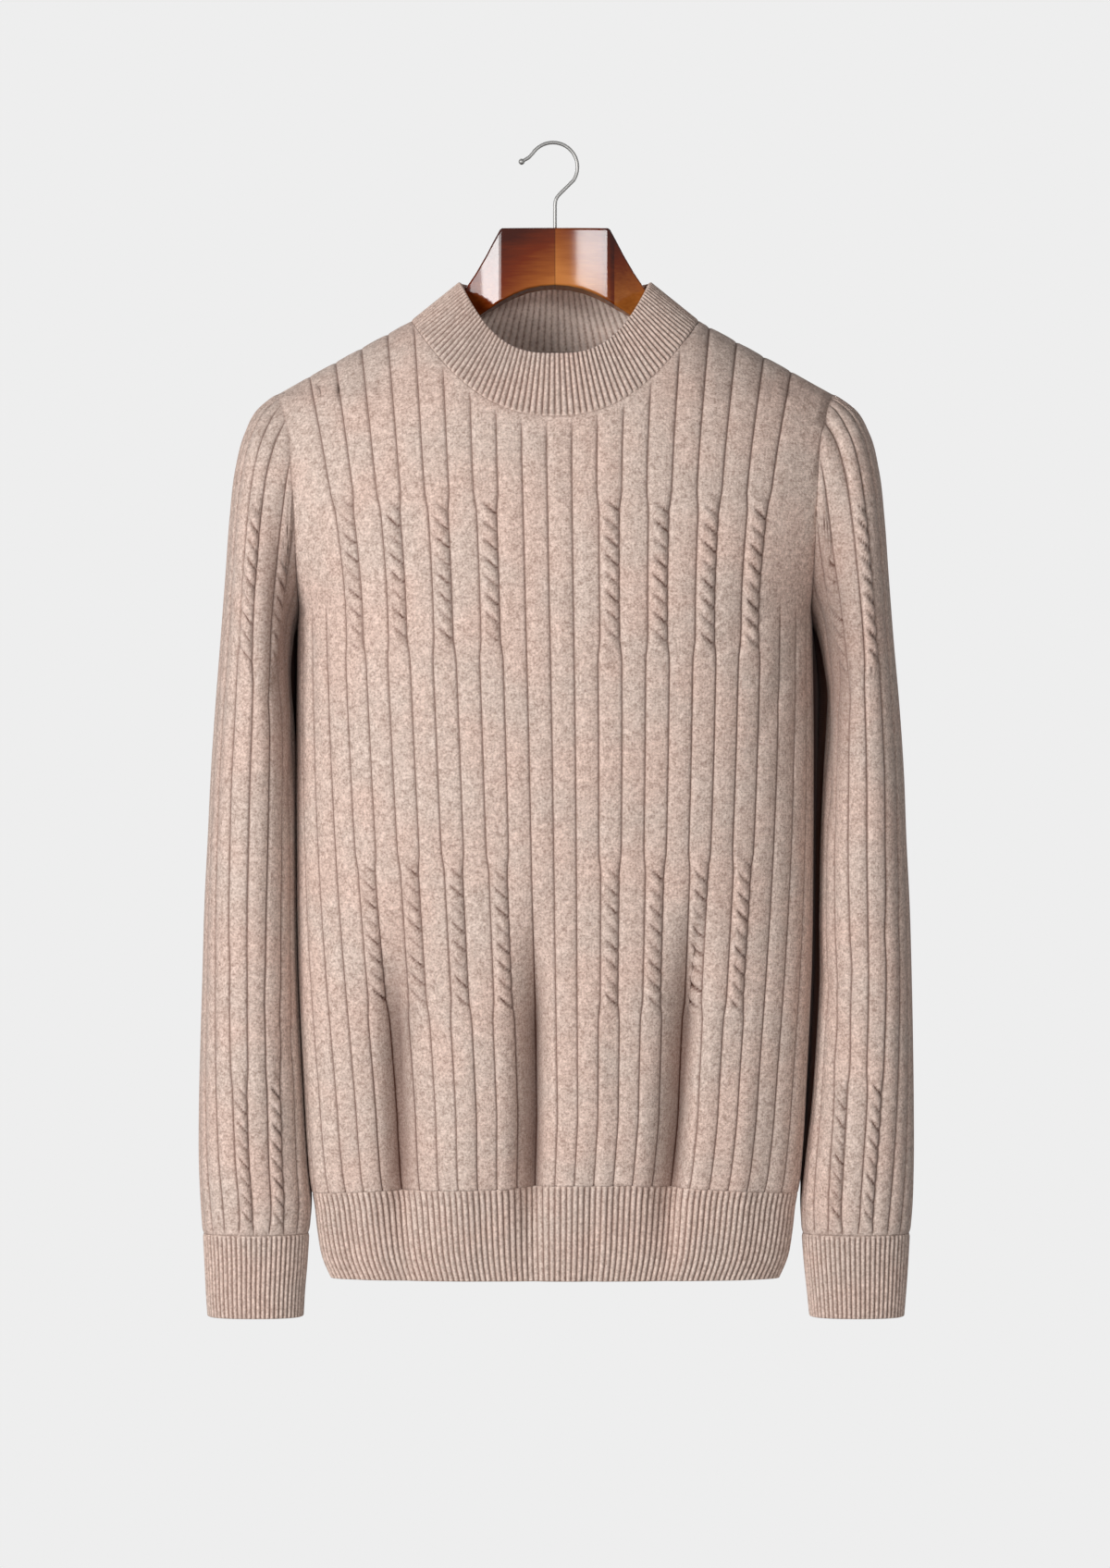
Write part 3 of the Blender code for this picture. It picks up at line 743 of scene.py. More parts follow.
def seam_vector_neck(points):
    sideways = points[..., 0] / NECK_X
    forward = points[..., 1] / np.max(np.abs(points[..., 1]))
    lift = NECK_LIFT_FRONT + (NECK_LIFT_SIDE - NECK_LIFT_FRONT) * sideways**2
    return unit(np.stack([NECK_LEAN_OUT * sideways, forward, lift], axis=-1))


def gap_at(x, z):
    """How wide the gap between body and sleeve is on the side of x."""
    keys, left, right = zip(*GAPS)
    return np.where(x > 0, np.interp(z, keys, left), np.interp(z, keys, right))


def side_share(x, depth, span=SIDE_SPAN):
    """1 on the back beside the side seam, where the sleeve lies against the body."""
    return between(depth, *span) * rise(np.abs(x), *SIDE_X)


def side_swell(x, depth, z):
    """How far the side of the back swells toward the sleeve, so that no light passes between.

    The two overlap there by up to a few millimetres, more than cloth on cloth would."""
    return (gap_at(x, z) / 2 + OVERLAP) * side_share(x, depth)


def under_arm(z, gap):
    """1 below the armpit, where body and sleeve leave a gap."""
    return rise(-z, -ARMPIT_Z, -ARMPIT_Z + 20) * rise(gap, 0, 4)


def hem_lift(side, x):
    """How far the hem's seam is drawn up at each place across the body."""
    if side == "back":
        return np.full(np.shape(x), HEM_LIFT_BACK)
    return np.interp(x, *zip(*HEM_LIFT))


def body_net(side, ribs, cables, bands, lower_rows, upper_levels):
    """The net of the front or the back, its normals, and how far each point is from a seam."""
    low_x = np.array([
        lower_x(side, z, ribs + cable_shift(ribs, z, cables, bands), drift_at(z))
        for z in lower_rows
    ])
    low_z = np.repeat(lower_rows[:, None], len(ribs), axis=1)
    fine = np.sin(np.linspace(0, np.pi / 2, LEVEL_SAMPLES)) ** 1.3
    paths = upper_paths(side, ribs, cables, bands, fine)
    levels = upper_levels[1:, None] * neck_levels(side, fine, paths)[None]
    columns = [np.interp(level, fine, path) for level, path in zip(levels.T, paths.T)]
    high_x = np.stack(columns, axis=1)
    high_x = np.sign(high_x) * np.minimum(np.abs(high_x), armhole_x(levels))
    high_z = ARMPIT_Z + levels * (ridge_z(high_x) - ARMPIT_Z)
    x, z = np.concatenate([low_x, high_x]), np.concatenate([low_z, high_z])
    depth = np.maximum(pressed_depth(side, x, z), 0.0)
    lifted = z + hem_lift(side, x) * (1 - rise(z, HEM_SEAM_Z, HEM_SEAM_Z + HEM_LIFT_FADE))
    points = np.stack([x, SIDES[side] * depth, lifted], axis=-1)
    if side == "back":
        points[..., 0] += np.sign(x) * side_swell(x, depth, z)
    normals = slope_normals(side, x, z)
    edge = armhole_x(np.clip((z - ARMPIT_Z) / (ridge_z(x) - ARMPIT_Z), 0, 1))
    edge_y = np.where(z > ARMPIT_Z, armhole_y(z), 0.0)
    half = np.where(z > ARMPIT_Z, edge, read(TORSO, "half_width", z))
    from_side = np.hypot(half - np.abs(x), depth - edge_y)
    way = np.where(x < 0, -1.0, 1.0)
    sideways = np.stack([np.sign(x), 0 * x, 0 * x], axis=-1)
    arm = seam_vector_armhole(side, np.clip(z, ARMPIT_Z, SHOULDER_Z))
    arm[..., 0] *= way
    side_vectors = np.where(z[..., None] > ARMPIT_Z, arm, sideways)
    along = lengths_along(points)
    from_top = along[-1][None] - along
    ridge = unit(np.array([NECK_Z - SHOULDER_Z, 0.0, SHOULDER_X - NECK_X]))
    top_vectors = np.tile(ridge, (len(ribs), 1))
    top_vectors[:, 0] *= way[-1]
    at_neck = np.abs(x[-1]) < NECK_X
    top_vectors[at_neck] = seam_vector_neck(points[-1][at_neck])
    normals = toward(normals, side_vectors, from_side, SIDE_REACH)
    normals = toward(normals, top_vectors, from_top, TOP_REACH)
    net = Net(points, normals, np.repeat(ribs[None], len(x), axis=0), along, False)
    return net, from_side, from_top


# %% Make the front and the back
BODY_PITCH = 17.0
SEAM_DIP, SEAM_WIDTH = 0.5, 1.3
TOP_SEAM_SHADE, SIDE_SEAM_SHADE = 0.3, 0.1
SIDE_FADE, TOP_FADE = 2.6, 9.0
GAP_SHADE, GAP_DARKNESS = (-5, 8, 15, 36), 2.2
FOLD_SHADE, FULL_FOLD = 0.85, 24.0
LAST_RIB, RIB_FADE = 10, 12.0


def neck_corners(side, cables, bands):
    """The rib coordinates that end in the two corners where neckline and shoulder meet."""
    ribs = np.linspace(-BODY_RIBS, BODY_RIBS, 2801)
    tops = upper_paths(side, ribs, cables, bands, np.array([1.0]))[0]
    return np.interp([-NECK_X, NECK_X], tops, ribs)


def body_piece(name, side, cables, bands, lower_rows, upper_levels):
    ribs = np.union1d(rib_columns(-BODY_RIBS, BODY_RIBS, cables), neck_corners(side, cables, bands))
    net, from_side, from_top = body_net(side, ribs, cables, bands, lower_rows, upper_levels)
    relief, hollow = rib_relief(net.ribs, net.points[..., 2], BODY_PITCH, cables, bands)
    x, y, z = (net.points[..., axis] for axis in range(3))
    lost = rise(np.abs(net.ribs), LAST_RIB - 0.7, LAST_RIB - 0.4)
    lost = lost * rise(z, ARMPIT_Z - RIB_FADE, ARMPIT_Z + RIB_FADE)
    keep = (1 - near(from_side, SIDE_FADE)) * (1 - near(from_top, TOP_FADE)) * (1 - lost)
    top_dip, side_dip = near(from_top, SEAM_WIDTH), near(from_side, SEAM_WIDTH)
    outer = WALL / 2 + relief * keep - SEAM_DIP * np.maximum(top_dip, 0.6 * side_dip)
    inner = np.full(outer.shape, WALL / 2)
    # Shade painted into the colour: in the grooves, along the seams, in the folds and in the gap
    # beside the sleeve.
    hollow = hollow * keep + TOP_SEAM_SHADE * top_dip + SIDE_SEAM_SHADE * side_dip
    hollow += FOLD_SHADE * np.clip(body_folds(side, x, z) / FULL_FOLD, 0, 1) ** 1.5
    in_gap = side_share(x, y, GAP_SHADE) * under_arm(z, gap_at(x, z))
    hollow = np.maximum(hollow, GAP_DARKNESS * in_gap)
    return knit_wall(name, net, outer, inner, hollow)


FRONT_ROWS = spaced((HEM_SEAM_Z, -765, -640, -520, -380, ARMPIT_Z), (1.5, 7, 1.65, 7, 1.65))
FRONT_LEVELS = spaced((0.0, 0.56, 0.94, 0.985, 1.0), (0.0088, 0.035, 0.011, 0.005))
BACK_ROWS = spaced((HEM_SEAM_Z, -765, ARMPIT_Z), (1.5, 7.5))
BACK_LEVELS = spaced((0.0, 0.02, 0.94, 0.985, 1.0), (0.01, 0.037, 0.011, 0.005))
front = body_piece("front_panel", "front", BODY_CABLES, BODY_BANDS, FRONT_ROWS, FRONT_LEVELS)
back = body_piece("back_panel", "back", (), (), BACK_ROWS, BACK_LEVELS)

# %% [markdown]
# ## Sleeves and cuffs
# A sleeve is a tube that starts at the armhole, falls over the shoulder's end and hangs close to
# the body, narrowing down to the wrist. Its twenty ribs all run from the sleeve's head to the
# cuff. The cuff is a close 1 x 1 rib, one plain column and one purl, that draws the wrist in.

# %% Nets of the sleeves
# The folds of each sleeve, as those of the body, but with ribs in place of x.
SLEEVE_FOLDS = {
    "left": (
        (5, -184, 5, -262, 2.6, 3), (8.4, -330, 5.6, -420, 2.2, 8), (9.2, -400, 7.4, -500, 2, 8),
        (3, -560, 7, -620, 2.2, 12), (8.6, -600, 5.8, -680, 1.8, 9),
        (-8.6, -330, -5.6, -410, 2.2, 8), (-3, -570, -6.4, -640, 2.2, 12),
    ),
    "right": (
        (8.4, -330, 5.4, -425, 2.2, 8), (9.1, -410, 7.2, -510, 1.8, 8),
        (3.4, -590, 7.4, -650, 2, 11), (8.4, -640, 6, -710, 1.6, 9),
        (-8.4, -335, -5.4, -420, 2.2, 8), (-3.4, -560, -7, -640, 2, 12),
    ),
}
SLEEVE_FADE = (-0.15, 0.35, 0.7, 1.2)
TURNS = np.linspace(0, 2 * np.pi, 721)
LEVEL_Z = -440.0
SLEEVE_FLAT = 2.25
FIRST_RING_Z = (ARMPIT_Z + SHOULDER_Z) / 2


def armhole_ring():
    """The armhole from the armpit, up the front and down the back."""
    z = ARMPIT_Z + (SHOULDER_Z - ARMPIT_Z) * (1 - np.cos(TURNS)) / 2
    y = -np.sign(np.sin(TURNS)) * ARMHOLE_HALF_DEPTH * np.abs(np.sin(TURNS))
    return np.stack([read(ARMHOLE, "x", z), y, z], axis=-1)


def arm_ring(row, wearer):
    up = -np.sign(np.cos(TURNS)) * np.abs(np.cos(TURNS)) ** (2 / SLEEVE_FLAT)
    forward = np.sign(np.sin(TURNS)) * np.abs(np.sin(TURNS)) ** (2 / SLEEVE_FLAT)
    out, inner = getattr(row, wearer + "_out"), getattr(row, wearer + "_in")
    x = (out + inner) / 2 + up * (out - inner) / 2
    y = row.back - forward * row.half_depth
    z = (row.top_z + row.under_z) / 2 + up * (row.top_z - row.under_z) / 2
    return np.stack([x, y, z], axis=-1)


def arm_rings(wearer):
    """All rings of one arm, and the mean height of each."""
    rings = np.stack([armhole_ring()] + [arm_ring(row, wearer) for row in SLEEVE + CUFF])
    middles = [FIRST_RING_Z] + [(row.top_z + row.under_z) / 2 for row in SLEEVE + CUFF]
    return rings, np.array(middles)


def inward_share(half, silhouette):
    """How far in from the sleeve's outline each point of half a ring is, from 0 to 1."""
    inward = np.interp(-half[:, 2], -silhouette[:, 1], silhouette[:, 0]) - half[:, 0]
    return np.maximum.accumulate(inward / inward[-1])


def half_shares(half, silhouette, level_half, upright):
    """The rib share of each point of half a ring, from its outer line to the line under the arm.

    On a level ring the ribs are even along it. Near the shoulder the rings tip, but the ribs
    still hang upright, so there a rib keeps its distance from the sleeve's outline. The ribs
    right beside the outline stay even."""
    even, level_even = (run / run[-1] for run in map(lengths_along, (half, level_half)))
    hung = np.interp(
        inward_share(half, silhouette), inward_share(level_half, silhouette), level_even
    )
    weight = upright * rise(np.maximum(even, hung), 0.04, 0.34)
    mixed = even * (1 - weight) + hung * weight
    return np.maximum.accumulate(mixed) + np.linspace(0, 1e-6, len(half))


def places_of_ribs(ring, ribs, total, silhouette, level_ring, upright):
    """Where each rib stands round a ring: 0 at the outer line, front ribs above 0."""
    middle = len(TURNS) // 2
    front = half_shares(ring[middle::-1], silhouette, level_ring[middle::-1], upright)
    rear = half_shares(ring[middle:], silhouette, level_ring[middle:], upright)
    share = np.abs(ribs) / (total / 2)
    steps = np.arange(middle + 1)
    ahead = middle - np.interp(share, front, steps)
    behind = middle + np.interp(share, rear, steps)
    return np.where(ribs >= 0, ahead, behind)


def pick(ring, places):
    low = np.clip(places.astype(int), 0, len(TURNS) - 2)
    part = (places - low)[:, None]
    return ring[low] * (1 - part) + ring[low + 1] * part


# The shade under the armpit: its strength, and where it fades, inward from the edge and down.
ARMPIT_SHADE = 0.28
ARMPIT_EDGE, ARMPIT_SPAN = (4, 26), (245, 335, 390, 540)
ARM_SPAN, ARM_EDGE = (0, 18, 28, 46), (6, 16)
SLEEVE_SEAM_SHADE = 0.2
SLEEVE_REACH = 8.0
FOLD_PITCH = 14.0


def arm_share(rings, span=ARM_SPAN):
    """1 where the inner side of a sleeve lies behind the side seam, close to the body."""
    middle_x = rings[..., 0].mean(axis=1, keepdims=True)
    return between(rings[..., 1], *span) * rise(middle_x - rings[..., 0], *ARM_EDGE)


def armpit_share(rings):
    """1 on the sleeve's inner edge under the armpit, where the body keeps the light off it."""
    from_edge = rings[..., 0] - rings[..., 0].min(axis=1, keepdims=True)
    down = -rings[..., 2]
    return (1 - rise(from_edge, *ARMPIT_EDGE)) * between(down, *ARMPIT_SPAN)


def arm_points(wearer, heights, ribs, total, cables=(), bands=()):
    """Points, normals and shade of a net round the arm, in the left arm's place.

    The inner side swells toward the body, and behind the side seam the two overlap a little."""
    rings, middles = arm_rings(wearer)
    dense = smooth_through(-middles, rings, -heights)
    outer_line = rings[:, len(TURNS) // 2, [0, 2]]
    silhouette = smooth_through(-middles, outer_line, np.linspace(-middles[0], -middles[-1], 900))
    level_ring = smooth_through(-middles, rings, -LEVEL_Z)
    swollen = dense.copy()
    gaps = gap_at(1.0 if wearer == "left" else -1.0, dense[..., 2])
    swollen[..., 0] -= (gaps / 2 + OVERLAP) * arm_share(dense)
    shares = arm_share(dense, GAP_SHADE) * under_arm(dense[..., 2], gaps)
    shares = np.maximum(shares, ARMPIT_SHADE * armpit_share(dense))
    vectors = net_normals(swollen[:, :-1])
    vectors = np.concatenate([vectors, vectors[:, :1]], axis=1)
    points, normals, shade = [], [], []
    for height, ring, shape, vector, share in zip(heights, dense, swollen, vectors, shares):
        shifted = ribs + cable_shift(ribs, height, cables, bands)
        upright = float(rise(height, LEVEL_Z - 40, LEVEL_Z + 30))
        places = places_of_ribs(ring, shifted, total, silhouette, level_ring, upright)
        points.append(pick(shape, places))
        normals.append(unit(pick(vector, places)))
        shade.append(pick(share[:, None], places)[:, 0])
    return np.array(points), np.array(normals), np.array(shade)


def sleeve_folds(wearer, ribs, z):
    """How far the folds press the sleeve in."""
    across = np.array([FOLD_PITCH, 1, FOLD_PITCH, 1, 1, 1])
    return pressed_in(SLEEVE_FOLDS[wearer] * across, ribs * FOLD_PITCH, z, SLEEVE_FADE)


def mirrored(wearer):
    return np.array([1, 1, 1]) if wearer == "left" else np.array([-1, 1, 1])


# %% Make the sleeves
SLEEVE_PITCH = 13.6
SLEEVE_FOOT_Z = -800.0
SLEEVE_HEIGHTS = spaced(
    (FIRST_RING_Z, -264.6, -270, -392, -684, -796, SLEEVE_FOOT_Z), (0.1, 1.4, 1.75, 6.0, 1.75, 1.3)
)


def make_sleeve(wearer):
    """One sleeve. Its cables lie on its front."""
    ribs = rib_columns(-SLEEVE_RIBS // 2, SLEEVE_RIBS // 2, SLEEVE_CABLES)[:-1]
    points, normals, shade = arm_points(
        wearer, SLEEVE_HEIGHTS, ribs, SLEEVE_RIBS, SLEEVE_CABLES, SLEEVE_BANDS
    )
    along = lengths_along(points)
    z = points[..., 2]
    arm = seam_vector_armhole("front", np.clip(z[0], ARMPIT_Z, SHOULDER_Z))
    arm[:, 1] = np.where(points[0][:, 1] > 0, np.abs(arm[:, 1]), -np.abs(arm[:, 1]))
    normals = toward(normals, arm, along, SLEEVE_REACH)
    points = points - normals * sleeve_folds(wearer, ribs[None], z)[..., None]
    way = -1 if wearer == "left" else 1
    cables = tuple(way * cable for cable in SLEEVE_CABLES)
    view_ribs = np.repeat(way * ribs[None], len(z), axis=0)
    relief, hollow = rib_relief(view_ribs, z, SLEEVE_PITCH, cables, SLEEVE_BANDS)
    seam = np.minimum(along, along[-1][None] - along)
    keep, dip = 1 - near(seam, SIDE_FADE), near(seam, SEAM_WIDTH)
    outer = WALL / 2 + relief * keep - SEAM_DIP * dip
    all_ribs = np.repeat(np.append(ribs, SLEEVE_RIBS / 2)[None], len(z), axis=0)
    mirror = mirrored(wearer)
    net = Net(points * mirror, normals * mirror, all_ribs, along, True)
    # Shade painted into the colour: in the grooves, along the seams and in the gap beside the body.
    return knit_wall("sleeve_" + wearer + "_knit", net, outer, np.full(z.shape, WALL / 2),
                     np.maximum(hollow * keep + SLEEVE_SEAM_SHADE * dip, GAP_DARKNESS * shade))


sleeve_left = make_sleeve("left")
sleeve_right = make_sleeve("right")

# %% [markdown]
# ## The ribbed trims
# Collar, hem and cuffs are 1 x 1 rib. Seen close, it is a row of narrow cords: each plain column
# stands out and each purl column hides behind it, on the inside as much as on the outside.
# A rib of this kind is elastic, so it gathers the cloth to which it is knitted.

# %% Ribbed tubes
FINE_STOPS = (0.0, 0.16, 0.34, 0.5, 0.66, 0.84)
FINE_HEIGHT, CORD_POWER, CORD_MIDDLE = 1.5, 0.8, 0.62
SEAM_FLATNESS, SEAM_REACH = 0.7, 1.2
INNER_SHARE = 0.8
CUFF_RIBS = 58
HEM_RIBS = 184
NECK_RIBS = 122
NECK_FRONT_RIBS = 74
# The inner face gets little light, so its painted shading is set apart: the share of the shade
# painted in its grooves, and for the collar, whose inside shows, more contrast on a ground
# painted paler to stand in for the light it lacks.
INSIDE_SHADE = 0.4
NECK_CONTRAST, NECK_PAINTED_LIGHT = 2.0, 0.35


def fine_columns(count):
    return np.array([rib + part for rib in range(count) for part in FINE_STOPS])


def fine_relief(ribs):
    """Cords of 1 x 1 rib: how far they stand out, the shade painted between them, and a faint
    highlight painted on their tops.
    """
    part = ribs - np.floor(ribs)
    cord = np.abs(np.sin(np.pi * part)) ** CORD_POWER
    return FINE_HEIGHT * (cord - CORD_MIDDLE), np.clip(1.2 - 1.7 * cord, -0.15, 1)


def ribbed_tube(points, ribs, count):
    """A trim from a closed net whose first row is its seam and whose last is its free edge."""
    normals = net_normals(points)
    along = lengths_along(points)
    from_free = along[-1][None] - along
    relief, hollow = fine_relief(np.repeat(ribs[None], len(points), axis=0))
    back_relief, back_painted_shading = fine_relief(np.repeat(ribs[None] + 0.5, len(points), axis=0))
    thin = rounded(from_free)
    keep = (1 - SEAM_FLATNESS * near(along, SEAM_REACH)) * thin
    outer = WALL / 2 * thin + relief * keep - 0.5 * SEAM_DIP * near(along, SEAM_WIDTH)
    inner = WALL / 2 * thin + INNER_SHARE * back_relief * keep
    all_ribs = np.repeat(np.append(ribs, float(count))[None], len(points), axis=0)
    net = Net(points, normals, all_ribs, along, True)
    return net, (outer, inner, hollow * keep, INSIDE_SHADE * back_painted_shading * keep)


def make_cuff(wearer):
    ribs = fine_columns(CUFF_RIBS)
    heights = spaced((SLEEVE_FOOT_Z, -804, -857, -861), (1.0, 5.5, 0.6))
    points = arm_points(wearer, heights, ribs - CUFF_RIBS / 2, CUFF_RIBS)[0]
    net, wall = ribbed_tube(points, ribs, CUFF_RIBS)
    mirror = mirrored(wearer)
    net = net._replace(points=net.points * mirror, normals=net.normals * mirror)
    return knit_wall("cuff_" + wearer + "_rib", net, *wall)


cuff_left = make_cuff("left")
cuff_right = make_cuff("right")


# %% Hem rib
EDGE_LIFT = 3.5


def make_hem():
    """The rib round the hem, from its seam down to its edge."""
    ribs = fine_columns(HEM_RIBS)
    share = ribs / (HEM_RIBS / 2)
    heights = spaced((HEM_SEAM_Z, -775, -832, HEM_Z), (1.0, 5.5, 0.6))
    rows = []
    for z in heights:
        row = np.zeros((len(ribs), 3))
        part = (z - HEM_Z) / (HEM_SEAM_Z - HEM_Z)
        for side, here in (("front", share < 1), ("back", share >= 1)):
            x, length = half_section(side, z)
            across = 2 * share[here] - 1 if side == "front" else 3 - 2 * share[here]
            row[here, 0] = np.sign(across) * np.interp(np.abs(across) * length[-1], length, x)
            row[here, 2] = z + EDGE_LIFT * (1 - part) + part * hem_lift(side, row[here, 0])
            depth = pressed_depth(side, row[here, 0], np.full(here.sum(), z))
            row[here, 1] = SIDES[side] * np.maximum(depth, 0.0)
        rows.append(row)
    net, wall = ribbed_tube(np.array(rows), ribs, HEM_RIBS)
    return knit_wall("hem_knit", net, *wall)


hem = make_hem()


# %% Neckband
def neck_rim(side, share):
    x = RIM_HALF_WIDTH * share
    y = SIDES[side] * RIM_DEPTH[side] * oval(share, 2)
    z = RIM_SIDE_Z - RIM_DROP[side] * (1 - np.abs(share) ** RIM_SHAPE)
    return np.stack([x, y, z], axis=-1)


def neck_foot(side, share):
    x = NECK_X * share
    z = neckline_z(side, x)
    return np.stack([x, SIDES[side] * depth_at(side, x, z), z], axis=-1)


def spread(run, share):
    """Points of an open run at the given shares of its length."""
    length = lengths_along(run)
    at = np.asarray(share) * length[-1]
    return np.stack([np.interp(at, length, run[:, axis]) for axis in range(3)], axis=-1)


def neck_ring(edge, ribs):
    """A closed ring of the neckband, each half with its own even ribs."""
    share = np.sin(np.linspace(-np.pi / 2, np.pi / 2, 700))
    ahead = ribs < NECK_FRONT_RIBS
    front = spread(edge("front", share), ribs[ahead] / NECK_FRONT_RIBS)
    rear = (ribs[~ahead] - NECK_FRONT_RIBS) / (NECK_RIBS - NECK_FRONT_RIBS)
    return np.concatenate([front, spread(edge("back", share), 1 - rear)])


def make_neckband():
    """The mock neck: a band of rib that rises from the neckline and leans in to its rim."""
    ribs = fine_columns(NECK_RIBS)
    foot, rim = neck_ring(neck_foot, ribs), neck_ring(neck_rim, ribs)
    steps = spaced((0.0, 0.1, 0.94, 1.0), (0.02, 0.07, 0.011))[:, None, None]
    points = foot[None] * (1 - steps) + rim[None] * steps
    net, (outer, inner, hollow, inner_painted_shading) = ribbed_tube(points, ribs, NECK_RIBS)
    normals = toward(net.normals, seam_vector_neck(points[0]), net.along, SIDE_REACH)
    # The collar's inside gets stronger painted shade and is painted paler, standing in for light.
    return knit_wall("neckband_knit", net._replace(normals=normals), outer, inner, hollow,
                     NECK_CONTRAST * inner_painted_shading - NECK_PAINTED_LIGHT)


neckband = make_neckband()

# %% [markdown]
# ## The hanger
# The hanger is two shaped pieces of hardwood glued in the middle. It has a thick block in the
# centre with a flat face, a waist where it leaves the block, and arms that widen to the
# shoulders. A maker saws the outline, shapes the arms on a spindle and sands every edge. Here
# each half grows from one face of a block: the end face is pushed out along the arm again and
# again, set to the next cut of the table each time, and the edges are then rounded.

# %% Hanger tables
Cut = namedtuple("Cut", "x top_z foot_z half_top half_foot")
HANGER = [Cut(*row) for row in (
    (10, -63, -105.7, 20.9, 20.9), (20, -63, -107.7, 20.5, 20.5), (30, -63, -111.6, 19.8, 19.8),
    (39.8, -63, -116.8, 18.9, 18.9), (46, -74, -120.8, 15.8, 15.8), (50, -81.6, -123, 13.8, 13.8),
    (58, -95, -128.2, 9.8, 10), (66, -106.6, -134.2, 7.4, 8.6), (86, -124.8, -147.4, 6.5, 11),
    (112, -138, -162.4, 7, 15.6), (150, -158.2, -184.2, 7.5, 18.2), (180, -174.8, -200, 7, 18),
    (189, -184, -199.6, 4, 10),
)]
BLOCK_LOW, BLOCK_HIGH = (-10.0, -20.9, -105.0), (0.0, 20.9, -63.0)
HANGER_EASE = 1.8
# Edges sharper than these, in degrees, are eased, or stay sharp in the shading.
EASED_ANGLE, FLAT_ANGLE, ROUND_ANGLE = 18, 34, 50


def choose(thing, test):
    """Select, in edit mode, the points that pass a test of their place in millimetres."""
    bpy.ops.mesh.select_all(action="DESELECT")
    shape = bmesh.from_edit_mesh(thing.data)
    for vert in shape.verts:
        vert.select_set(bool(test(vert.co / MM)))
    shape.select_flush(True)
    bmesh.update_edit_mesh(thing.data)


def set_cut(thing, cut, middle_z):
    """Put the corners of the new end face where the table wants them, the lower pair first."""
    for top in (False, True):
        choose(thing, lambda p: abs(p.x - cut.x) < 0.01 and (p.z > middle_z) == top)
        picked = [vert for vert in bmesh.from_edit_mesh(thing.data).verts if vert.select]
        z_now = sum(vert.co.z for vert in picked) / len(picked)
        half_now = max(abs(vert.co.y) for vert in picked)
        z_new = (cut.top_z if top else cut.foot_z) * MM
        half_new = (cut.half_top if top else cut.half_foot) * MM
        bpy.ops.transform.resize(value=(1, half_new / half_now, 1), center_override=(0, 0, 0))
        bpy.ops.transform.translate(value=(0, 0, z_new - z_now))


def settle(name):
    """Name the solid just added and carry its place and scale into its points."""
    thing = bpy.context.object
    thing.name = name
    bpy.ops.object.transform_apply(location=True, rotation=False, scale=True)
    return thing


def start_block(name, low, high):
    """A block between two corners in millimetres, ready in edit mode."""
    middle = [(a + b) / 2 * MM for a, b in zip(low, high)]
    bpy.ops.mesh.primitive_cube_add(size=1.0, location=middle)
    bpy.context.object.scale = [(b - a) * MM for a, b in zip(low, high)]
    thing = settle(name)
    bpy.ops.object.mode_set(mode="EDIT")
    bpy.ops.mesh.select_mode(type="VERT")
    return thing


def finish_mesh(angle):
    """Normals out, smooth shading, edit mode left."""
    bpy.ops.mesh.select_all(action="SELECT")
    bpy.ops.mesh.normals_make_consistent(inside=False)
    bpy.ops.object.mode_set(mode="OBJECT")
    bpy.ops.object.shade_smooth_by_angle(angle=np.radians(angle))


def make_arm(wearer):
    """One half of the hanger, built for the wearer's left and mirrored for the right."""
    thing = start_block("hanger_half_" + wearer, BLOCK_LOW, BLOCK_HIGH)
    reach, middle_z = 0.0, (BLOCK_LOW[2] + BLOCK_HIGH[2]) / 2
    for cut in HANGER:
        choose(thing, lambda p: abs(p.x - reach) < 0.01)
        bpy.ops.mesh.extrude_region_move(
            TRANSFORM_OT_translate={"value": ((cut.x - reach) * MM, 0, 0)}
        )
        set_cut(thing, cut, middle_z)
        reach, middle_z = cut.x, (cut.top_z + cut.foot_z) / 2
    bpy.ops.object.mode_set(mode="OBJECT")
    bevel = thing.modifiers.new("eased edges", "BEVEL")
    bevel.width = HANGER_EASE * MM
    bevel.segments = 4
    bevel.limit_method = "ANGLE"
    bevel.angle_limit = np.radians(EASED_ANGLE)
    bpy.ops.object.modifier_apply(modifier="eased edges")
    bpy.ops.object.mode_set(mode="EDIT")
    bpy.ops.mesh.select_all(action="SELECT")
    bpy.ops.mesh.bisect(plane_co=(0, 0, 0), plane_no=(1, 0, 0), use_fill=True, clear_inner=True)
    if wearer == "right":
        bpy.ops.mesh.select_all(action="SELECT")
        bpy.ops.transform.mirror(constraint_axis=(True, False, False), center_override=(0, 0, 0))
    finish_mesh(FLAT_ANGLE)
    flat = thing.modifiers.new("flat faces", "WEIGHTED_NORMAL")
    flat.keep_sharp = True
    bpy.ops.object.modifier_apply(modifier="flat faces")
    print(thing.name + ":", len(thing.data.polygons), "faces")
    return thing


hanger_left = make_arm("left")
hanger_right = make_arm("right")

# %% [markdown]
# ## The hook
# The hook is a chromed steel wire about three millimetres thick. Its stem screws into the top of
# the hanger, the wire bends out and sweeps round in a circle, and the end carries a small ball
# so that it does not scratch. It turns in its socket on the real hanger; here it stands square.
# A maker bends the wire round a peg. The same is done here: a disc is pushed up the stem, then
# spun round the peg's centre, then pushed on to the tip.

